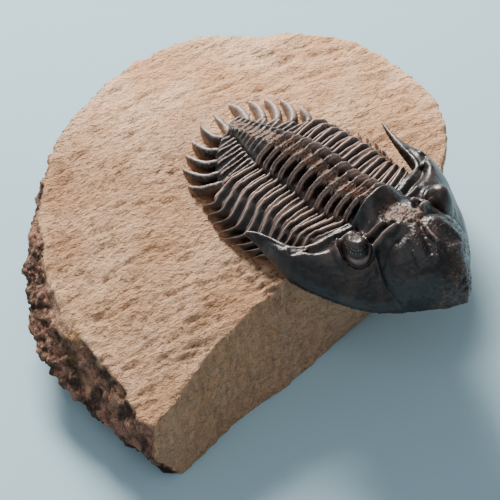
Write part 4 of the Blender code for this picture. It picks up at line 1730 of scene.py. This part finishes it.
    def shape(self, u: Points, v: Points) -> Points:
        """Mould the upper surface.

        Args:
            u: Place across, -1 to 1.
            v: Place from the rear edge to the tip, -1 to 1.

        Returns:
            Its points.
        """
        share, side = 0.5 * (v + 1), np.abs(u)
        rear_y = self.rear_y[0]
        edge_x, edge_y, _ = self.margin_at(share * 2 / 3)
        middle = rear_y + (HEAD_TIP_Y - rear_y) * share
        x = side * edge_x
        y = middle + (edge_y - middle) * side ** (1.6 - 0.45 * share)
        rear = curve(side * self.margin[0][0], self.rear_x, self.rear_y)
        plain = rear_y + (self.margin[0][1] - rear_y) * side**1.6
        y += (rear - plain) * (1 - share) ** 5
        front_x, front_y, _ = self.margin_at(1 - side / 3)
        corner_x, corner_y, _ = self.margin_at(np.array(2 / 3))
        plain_y = HEAD_TIP_Y + (float(corner_y) - HEAD_TIP_Y) * side**1.15
        x += (front_x - side * float(corner_x)) * share**5
        y += (front_y - plain_y) * share**5
        x = np.where(u < 0, -x, x)
        return np.column_stack([x, y, self.height(x, y)])

    def crest_of(self, side: int) -> Points:
        """Chain of the raised rim of one side, from beside the axis to the point of the genal spine."""
        return np.array(self.rim + (self.crest_left if side < 0 else self.crest_right))

    def genal_spine(self, side: int) -> bpy.types.Object:
        """Build the blade at a rear corner, which slants outwards from a crest to the edge of the cheek.

        Args:
            side: 1 on the right, -1 on the left.

        Returns:
            The closed blade.
        """
        chain = self.crest_of(side)[3:]
        tip_y = chain[-1, 1]
        at = (0, 0.25, 0.5, 0.75, 1)
        ys = (-13.2, -9.4, -6.2, 0.5 * (tip_y - 6.2), tip_y)
        outer_x, outer_z = (20.7, 21.2, 20.9, 20.6, 20.7), (-3.8, -3.2, -2.9, -2.3, -1.5)
        under_x, under_z = (16.4, 17.5, 18.2, 19.2, 20.3), (-4.8, -4.4, -3.8, -3.0, -1.8)

        def shape(u: Points, v: Points) -> Points:
            """Points of the spine; u runs round its three faces and v along it."""
            t, turn = 0.5 * (v + 1), 1.5 * (u + 1)
            y = curve(t, at, ys)
            crest = (curve(y, chain[:, 1], chain[:, 0]), curve(y, chain[:, 1], chain[:, 2]))
            edges = ((outer_x, outer_z), (under_x, under_z))
            corners = [crest, *((curve(t, at, xs), curve(t, at, zs)) for xs, zs in edges), crest]
            x, z = np.zeros_like(t), np.zeros_like(t)
            for k in range(3):
                here = (turn >= k) & (turn <= k + 1)
                share = turn - k
                x = np.where(here, mix(corners[k][0], corners[k + 1][0], share), x)
                z = np.where(here, mix(corners[k][1], corners[k + 1][1], share), z)
            bulge = np.sin(math.pi * np.clip(turn, 0, 1)) * mix(1.5, 0.15, step(t, 0.1, 0.75))
            return np.column_stack([side * (x + 0.3 * bulge), y, z + bulge])

        return close_form(shape_sheet("genal_spine", 60, 80, shape))

    def raised_rim(self, side: int) -> bpy.types.Object:
        """Build the roll along the rear edge of a cheek and the crest of its genal spine.

        Args:
            side: 1 on the right, -1 on the left.

        Returns:
            The closed roll.
        """
        chain = self.crest_of(side)
        run = np.concatenate([[0.0], np.cumsum(np.linalg.norm(np.diff(chain, axis=0), axis=1))])

        def shape(u: Points, v: Points) -> Points:
            """Points of the roll; u runs round it and v along it."""
            angle, along = math.pi * u, 0.5 * (v + 1) * run[-1]
            x, y, z = (curve(along, run, chain[:, axis]) for axis in range(3))
            ahead_x, ahead_y = (curve(along + 0.05, run, chain[:, axis]) for axis in range(2))
            behind_x, behind_y = (curve(along - 0.05, run, chain[:, axis]) for axis in range(2))
            length = np.hypot(ahead_x - behind_x, ahead_y - behind_y)
            across = np.column_stack([behind_y - ahead_y, ahead_x - behind_x]) / length[:, None]
            half = curve(along / run[-1], (0, 0.1, 0.5, 0.9, 1), (0.25, 0.40, 0.42, 0.34, 0.26))
            x, y = x + across[:, 0] * half * np.cos(angle), y + across[:, 1] * half * np.cos(angle)
            return np.column_stack([side * x, y, z - 0.12 + 0.9 * half * np.sin(angle)])

        return close_form(shape_sheet("raised_rim", 16, 160, shape))

    def thicken(self, thing: bpy.types.Object) -> None:
        """Extrude the whole sheet downwards and mould its underside.

        Args:
            thing: The moulded sheet.
        """
        choose(thing)
        bpy.ops.object.mode_set(mode="EDIT")
        bpy.ops.mesh.select_all(action="SELECT")
        bpy.ops.mesh.extrude_region_move(TRANSFORM_OT_translate={"value": (0.0, 0.0, -MM)})
        bpy.ops.object.mode_set(mode="OBJECT")
        points = read_points(thing)
        under = picked(thing)
        low = points[under]
        inside, rim = chain_distance(low[:, :2], self.outline())
        ahead = curve(np.abs(low[:, 0]), self.rear_x, self.rear_y) - low[:, 1]
        deep = mix(np.full(len(low), SUNK_Z), -8.2, step(-low[:, 1], 26.0, 40.0))
        thin = low[:, 2] - 0.6
        hidden = mix(thin, deep, step(ahead, 0.8, 4.0))
        low[:, 2] = np.maximum(mix(rim - self.edge_depth, hidden, step(inside, 0.3, 4.5)), SUNK_Z)
        low[:, 2] = np.minimum(low[:, 2], points[under, 2] - self.thinnest)
        points[under] = low
        write_points(thing, points)

    def build(self, material: bpy.types.Material) -> bpy.types.Object:
        """Build and dress the head.

        Args:
            material: The shell material.

        Returns:
            The finished piece.
        """
        shield = shape_sheet("head_shield", self.columns, self.rows, self.shape)
        self.thicken(shield)
        close_form(shield)
        corners = [form(side) for side in (-1, 1) for form in (self.genal_spine, self.raised_rim)]
        thing = fuse([shield, *corners], self.voxel)
        points = smoothed(thing, read_points(thing), 1)
        write_points(thing, points)
        points += read_normals(thing) * self.skin(points)[:, None]
        write_points(thing, points)
        self.paint_shell(thing, fine=4, coarse=24)
        points = read_points(thing)
        patch = self.broken_patch(points)
        chin = step(-points[:, 1], 36.5, 39.5) * step(noise(points, 0.9, 3, Seed.CHIN_WEAR), -0.1, 0.5)
        paint(thing, "wear", np.maximum(0.8 * patch, 0.5 * chin))
        paint(thing, "ridge", self.crest_lines(points))
        # Weaker pale crest paint, worn shell and painted highlight, towards the front, and much less on the
        # broken patch and the right eye.
        from_eye, _ = self.right_eye.polar(points[:, 0], points[:, 1])
        bare = np.maximum(0.8 * patch, 0.9 * (1 - step(from_eye, 0.9, 1.3)))
        paint(thing, "pale", mix(0.5, 0.15, step(-points[:, 1], 25.0, 28.0)) * (1 - bare))
        hand_over(thing, Slot.SHELL, material, "cephalon")
        return thing

    def skin(self, points: Points) -> Points:
        """Work out lenses, tubercles and roughness over the smooth form.

        Args:
            points: Rows of x, y, z.

        Returns:
            Height at each point.
        """
        x, y, z = points.T
        glabella = step(-y, 26.0, 29.0) * (1 - step(np.abs(x), 9.0, 12.0))
        glabella *= mix(0.30, 1.0, step(x, -5.0, -1.0))
        top = step(z, -6.0, -3.0)
        value, crack = blocks(points, 0.62, Seed.TUBERCLES)
        tubercles = 0.17 * step(crack, 0.03, 0.5) * glabella * top * (0.2 + 0.8 * value)
        drift = 0.5 * noise(points, 1.5, 2, Seed.SHARD_DRIFT)[:, None]
        shards, edges = blocks(points + drift, 1.05, Seed.SHARDS)
        broken = 0.45 * (shards - 0.5) - 0.15 * (1 - step(edges, 0.0, 0.25))
        broken += 0.22 * noise(points, 0.9, 3, Seed.PATCH_ROUGH)
        rough = (broken - 0.1) * self.broken_patch(points)
        chin = step(-y, 35.5, 39.0) * step(-z, -3.5, 0.5) * (1 - step(-z, 2.8, 4.6))
        rugged = 0.28 * (noise(points, 1.4, 4, Seed.CHIN_ROUGH) - 0.3) * chin
        lens = 0.24 * self.left_eye.lenses(-x, y) * step(z, 2.3, 3.2)
        fine = 0.04 * noise(points, 0.6, 3, Seed.HEAD_GRAIN) + 0.12 * noise(points, 4.5, 2, Seed.HEAD_SWELL)
        return tubercles + rough + rugged + lens + fine

    def crest_lines(self, points: Points) -> Points:
        """Find raised folds and the edges of the left eye, which are painted pale as worn shell and as
        highlight.

        Args:
            points: Rows of x, y, z.

        Returns:
            How much each point is painted pale, 0 to 1.
        """
        x, y, z = points.T
        total = np.zeros(len(points))
        for fold in self.folds:
            if fold.height > self.pale_painted_height and fold.width < self.pale_painted_width:
                total = np.maximum(total, replace(fold, width=0.6 * fold.width, height=0.4).add(x, y))
        # The left eye's ledge and lid are painted pale: painted highlight, partly worn shell.
        r, angle = self.left_eye.polar(-x, y)
        front = step(np.cos(angle + 0.9), 0.2, 0.8) * (x < 0)
        ledge = 0.45 * bump(r, self.left_eye.ledge_at, 0.05, 0.07) * front
        from_lid = r + 0.12 * noise(points, 0.7, 2, Seed.LID_EDGE)
        lid = 0.16 * (1 - step(from_lid, 0.35, 0.75)) * (x < 0)
        return np.maximum(total, np.maximum(ledge, lid)) * step(z, -5.0, -3.0)

    def broken_patch(self, points: Points) -> Points:
        """Find where the crest of the glabella is broken and rough.

        Args:
            points: Rows of x, y, z.

        Returns:
            1 on the patch to 0 off it.
        """
        x, y = points[:, 0] - self.patch_at[0], points[:, 1] - self.patch_at[1]
        cos, sin = math.cos(self.patch_turn), math.sin(self.patch_turn)
        a, b = cos * x - sin * y, sin * x + cos * y
        away = np.hypot(a / self.patch_half[0], b / self.patch_half[1])
        away += 0.22 * noise(points, 1.6, 3, Seed.PATCH_EDGE)
        return (1 - step(away, 0.75, 1.1)) * step(points[:, 2], 2.5, 4.5)


# ------------------------------------------------------------------------------------------- the stone


@dataclass
class MatrixStone:
    """Block of matrix: a scoured top round the animal, a weathered left side and a broken front."""

    voxel: float = 0.5
    seat: float = 0.6  # height over the flat underside in which the block stays as it was packed
    top_z: float = -9.0
    mark_size: tuple = (5.0, 1.1, 1.6)  # along, across and down
    pit_size: tuple = (2.4, 1.2, 1.0)
    mark_height: float = 0.34
    pit_height: float = 0.30
    swell_height: float = 0.30
    stain_at: tuple = (-56.5, 13.5)
    left_edge: tuple = (
        (-16.0, 62.0), (-29.0, 50.5), (-38.3, 41.4), (-48.4, 27.0), (-53.6, 20.0),
        (-57.0, 12.0), (-59.6, -1.3), (-62.6, -12.5), (-66.0, -24.0),
    )  # of the prepared top
    animal_edge: tuple = (
        (-20.5, -24.0), (-22.0, -14.0), (-21.0, -4.0), (-20.8, 5.0), (-19.4, 12.0), (-16.5, 20.0),
        (-13.0, 28.0), (-6.0, 33.0), (2.0, 34.5), (10.0, 31.0), (16.0, 23.0),
    )

    def copy_solid(self) -> bpy.types.Object:
        """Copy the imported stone, merge its corners and remesh it finely.

        Returns:
            The copy.
        """
        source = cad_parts["matrix_stone"]
        thing = bpy.data.objects.new("stone_block", source.data.copy())
        bpy.context.scene.collection.objects.link(thing)
        close_form(thing, 0.01)
        apply_modifier(thing, "REMESH", mode="VOXEL", voxel_size=self.voxel * MM, adaptivity=0.0)
        return thing

    def shape(self, thing: bpy.types.Object) -> None:
        """Give the block its broken faces, tool marks and the raised, crumbly stone round the animal.

        Args:
            thing: The remeshed block.
        """
        start = read_points(thing)
        seated = start[:, 2] < start[:, 2].min() + self.seat
        soft = smoothed(thing, start, 14)
        points = np.where(seated[:, None], start, soft)
        write_points(thing, points)
        normals = read_normals(thing)
        upward = step(normals[:, 2], 0.55, 0.85)
        cos, sin = math.cos(TOOL_MARK_TURN), math.sin(TOOL_MARK_TURN)
        turned = np.column_stack([
            cos * points[:, 0] + sin * points[:, 1],
            -sin * points[:, 0] + cos * points[:, 1],
            points[:, 2],
        ])
        marks = noise(turned, self.mark_size, 4, Seed.TOOL_MARKS)
        pits = np.minimum(noise(turned, self.pit_size, 3, Seed.PITS) + 0.25, 0)
        swell = noise(points, 11.0, 3, Seed.SWELL)
        near = self.near_animal(points)
        scoured = (self.mark_height + 0.12 * near) * marks
        scoured += self.pit_height * pits + self.swell_height * swell
        scoured += near * (0.45 * noise(points, 1.7, 4, Seed.NEAR_CRUMBS) + 0.25)
        broken = self.broken_face(points)
        crust = self.crust_mask(points, normals)
        rough_side = 0.30 * noise(points, (1.6, 1.6, 6.0), 4, Seed.SIDE_COARSE) - 0.1
        rough_side += 0.25 * noise(points, 1.3, 3, Seed.SIDE_FINE)
        height = mix(mix(rough_side, scoured, upward), broken, crust)
        height = np.where(seated, np.minimum(height, 0) * 0.2, height)
        moved = points + normals * height[:, None]
        outside = self.beyond_edge(points)
        ceiling = self.top_z + 0.3 - 0.8 * np.maximum(outside, 0) + broken * step(outside, 0.0, 1.5)
        moved[:, 2] = np.where(outside > 0, np.minimum(moved[:, 2], ceiling), moved[:, 2])
        low, high = (np.array(corner) - PLACE for corner in corner_of("matrix_stone"))
        write_points(thing, np.clip(moved, low, high))

    def broken_face(self, points: Points) -> Points:
        """Work out the relief of the weathered rind.

        Args:
            points: Rows of x, y, z.

        Returns:
            Height over the face at each point.
        """
        block, crack = blocks(points, 3.4, Seed.BROKEN_BLOCKS)
        chip, fine_crack = blocks(points, 1.5, Seed.BROKEN_CHIPS)
        height = 0.9 * (block - 0.7) - 0.4 * (1 - step(crack, 0.0, 0.15))
        height += 0.5 * (chip - 0.6) - 0.2 * (1 - step(fine_crack, 0.0, 0.2))
        return height + 0.5 * noise(points, 1.6, 3, Seed.BROKEN_ROUGH)

    def beyond_edge(self, points: Points) -> Points:
        """Measure how far points lie beyond the left-hand edge of the prepared top.

        Args:
            points: Rows of x, y, z.

        Returns:
            Distance in plan, negative on the top.
        """
        chain = flat_chain(self.left_edge)
        away, _ = chain_distance(points[:, :2], chain)
        edge_x = curve(points[:, 1], chain[::-1, 1], chain[::-1, 0])
        ragged = 0.9 * noise(points * (1, 1, 0), 5.0, 3, Seed.TOP_EDGE)
        return np.where(points[:, 0] < edge_x, away, -away) + ragged

    def near_animal(self, points: Points) -> Points:
        """Find how close the stone is to the animal's edge.

        Args:
            points: Rows of x, y, z.

        Returns:
            1 beside it to 0 farther out.
        """
        x, y = points[:, 0], points[:, 1]
        away, _ = chain_distance(points[:, :2], flat_chain(self.animal_edge))
        inner = step(x + 21.0, 0.0, 2.0) * step(6.0 - y, 0.0, 4.0) * (x < 0) * step(y + 24.0, 0.0, 4.0)
        ragged = 1.2 * noise(points, 2.6, 3, Seed.NEAR_EDGE)
        return np.maximum(1 - step(away + ragged, 0.5, 3.6), inner)

    def crust_mask(self, points: Points, normals: Points) -> Points:
        """Find where the weathered rind is.

        Args:
            points: Rows of x, y, z.
            normals: The unit normal at each point.

        Returns:
            1 on the rind to 0 off it.
        """
        outward = 1 - step(normals[:, 2], 0.35, 0.75)
        left = step(-points[:, 0], 34.0, 44.0)
        back = step(points[:, 1], 30.0, 44.0) * 0.8
        front = step(normals[:, 0] - normals[:, 1], -0.15, 0.25) * step(-points[:, 1], 4.0, 8.0)
        ragged = 0.5 * noise(points, 4.0, 3, Seed.CRUST_EDGE)
        sides = outward * step(np.maximum(left, back) - front + ragged, 0.3, 0.7)
        return np.maximum(sides, step(self.beyond_edge(points), 0.0, 0.8))

    def build(self, material: bpy.types.Material) -> bpy.types.Object:
        """Build and dress the stone.

        Args:
            material: The stone material.

        Returns:
            The finished piece.
        """
        thing = self.copy_solid()
        self.shape(thing)
        paint_relief(thing, 8, 40)
        points, normals = read_points(thing), read_normals(thing)
        smooth_normals = smoothed(thing, normals, 10)
        paint(thing, "crust", self.crust_mask(points, smooth_normals))
        paint(thing, "side", 1 - step(smooth_normals[:, 2], 0.45, 0.75))
        paint(thing, "near", self.near_animal(points))
        calm = step(points[:, 0] + 0.8 * points[:, 1], 5.0, 45.0)
        paint(thing, "coarse", 1 - 0.6 * calm)
        stain_x, stain_y = self.stain_at
        stain = np.exp(-((points[:, 0] - stain_x) ** 2 / 7.0 + (points[:, 1] - stain_y) ** 2 / 14.0))
        ragged = 0.3 * noise(points, 2.0, 3, Seed.OCHRE_EDGE)
        paint(thing, "ochre", 0.7 * step(stain + ragged, 0.35, 0.8))
        hand_over(thing, Slot.STONE, material, "matrix_stone")
        return thing


# ------------------------------------------------------------------------------------------ the studio


@dataclass(frozen=True)
class Lamp:
    """A square area light that faces the block, with its place and size in metres."""

    name: str
    place: tuple
    size: float
    watts: float
    tint: tuple
    target: tuple = (0.0, 0.0, 0.01)

    def add(self) -> None:
        """Add the light."""
        bpy.ops.object.light_add(type="AREA", location=self.place)
        light = bpy.context.active_object
        light.name = self.name
        light.data.shape = "SQUARE"
        light.data.size = self.size
        light.data.energy = self.watts
        light.data.color = self.tint
        towards = Vector(self.target) - Vector(self.place)
        light.rotation_euler = towards.to_track_quat("-Z", "Y").to_euler()


@dataclass
class Studio:
    """Pale floor, soft light from behind on the left, and the camera."""

    azimuth: float = math.radians(-44.29)
    elevation: float = math.radians(48.0)
    distance: float = 800.0
    pixels_per_mm: float = 5.0
    frame_pixels: float = 500.0
    sensor: float = 36.0
    aim_offset: tuple = (13.47, 14.97)  # of the animal's origin from the middle of the picture, in mm
    seen_from_to: tuple = (0.05, 20.0)  # in metres
    floor_size: float = 6.0  # in metres
    sky_tint: tuple = (0.86, 0.92, 1.0, 1.0)
    sky_strength: float = 0.35
    lamps: tuple = (
        Lamp("key", (0.30, 0.62, 0.46), 0.28, 19.0, (1.0, 0.95, 0.89)),
        Lamp("fill", (-0.6, -0.2, 0.9), 0.9, 2.2, (0.92, 0.96, 1.0)),
    )

    def axes(self) -> tuple[Vector, Vector, Vector]:
        """Work out how the camera is turned.

        Returns:
            Directions to its back, right and up.
        """
        a, e = self.azimuth, self.elevation
        back = Vector((math.sin(a) * math.cos(e), -math.cos(a) * math.cos(e), math.sin(e)))
        right = Vector((math.cos(a), math.sin(a), 0.0))
        return back, right, back.cross(right)

    def add_camera(self) -> None:
        """Add the camera."""
        back, right, up = self.axes()
        place = Vector(PLACE) + back * self.distance
        place -= right * self.aim_offset[0] + up * self.aim_offset[1]
        turn = (math.pi / 2 - self.elevation, 0.0, self.azimuth)
        bpy.ops.object.camera_add(location=place * MM, rotation=turn)
        camera = bpy.context.active_object
        camera.data.sensor_width = self.sensor
        camera.data.lens = self.pixels_per_mm * self.distance * self.sensor / self.frame_pixels
        camera.data.clip_start, camera.data.clip_end = self.seen_from_to
        bpy.context.scene.camera = camera

    def add_floor(self, material: bpy.types.Material) -> None:
        """Add the floor.

        Args:
            material: Its material.
        """
        bpy.ops.object.select_all(action="DESELECT")
        bpy.ops.mesh.primitive_plane_add(size=self.floor_size, location=(0.0, 0.0, 0.0))
        floor = bpy.context.active_object
        floor.name = floor.data.name = "floor"
        floor.data.materials.append(material)

    def build(self) -> None:
        """Build the studio."""
        self.add_camera()
        for lamp in self.lamps:
            lamp.add()
        self.add_floor(FloorFinish().make())
        world = bpy.data.worlds.new("studio")
        bpy.context.scene.world = world
        world.use_nodes = True
        sky = world.node_tree.nodes["Background"]
        sky.inputs["Color"].default_value = self.sky_tint
        sky.inputs["Strength"].default_value = self.sky_strength


def write_sizes() -> None:
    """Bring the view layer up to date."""
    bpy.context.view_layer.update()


def main() -> None:
    """Build every piece, then the studio round them."""
    logging.basicConfig(level=logging.INFO, format="%(name)s: %(message)s")
    grain, relief = grain_group(), relief_group()
    shell = ShellFinish().make(grain, relief)
    stone = StoneFinish().make(grain)
    plan = BodyPlan()
    MatrixStone().build(stone)
    HeadShield(plan).build(shell)
    for number in range(1, len(plan.ring_y)):
        Segment(plan, number).build(shell)
    TailShield(plan).build(shell)
    Studio().build()
    write_sizes()


if __name__ == "__main__":
    main()
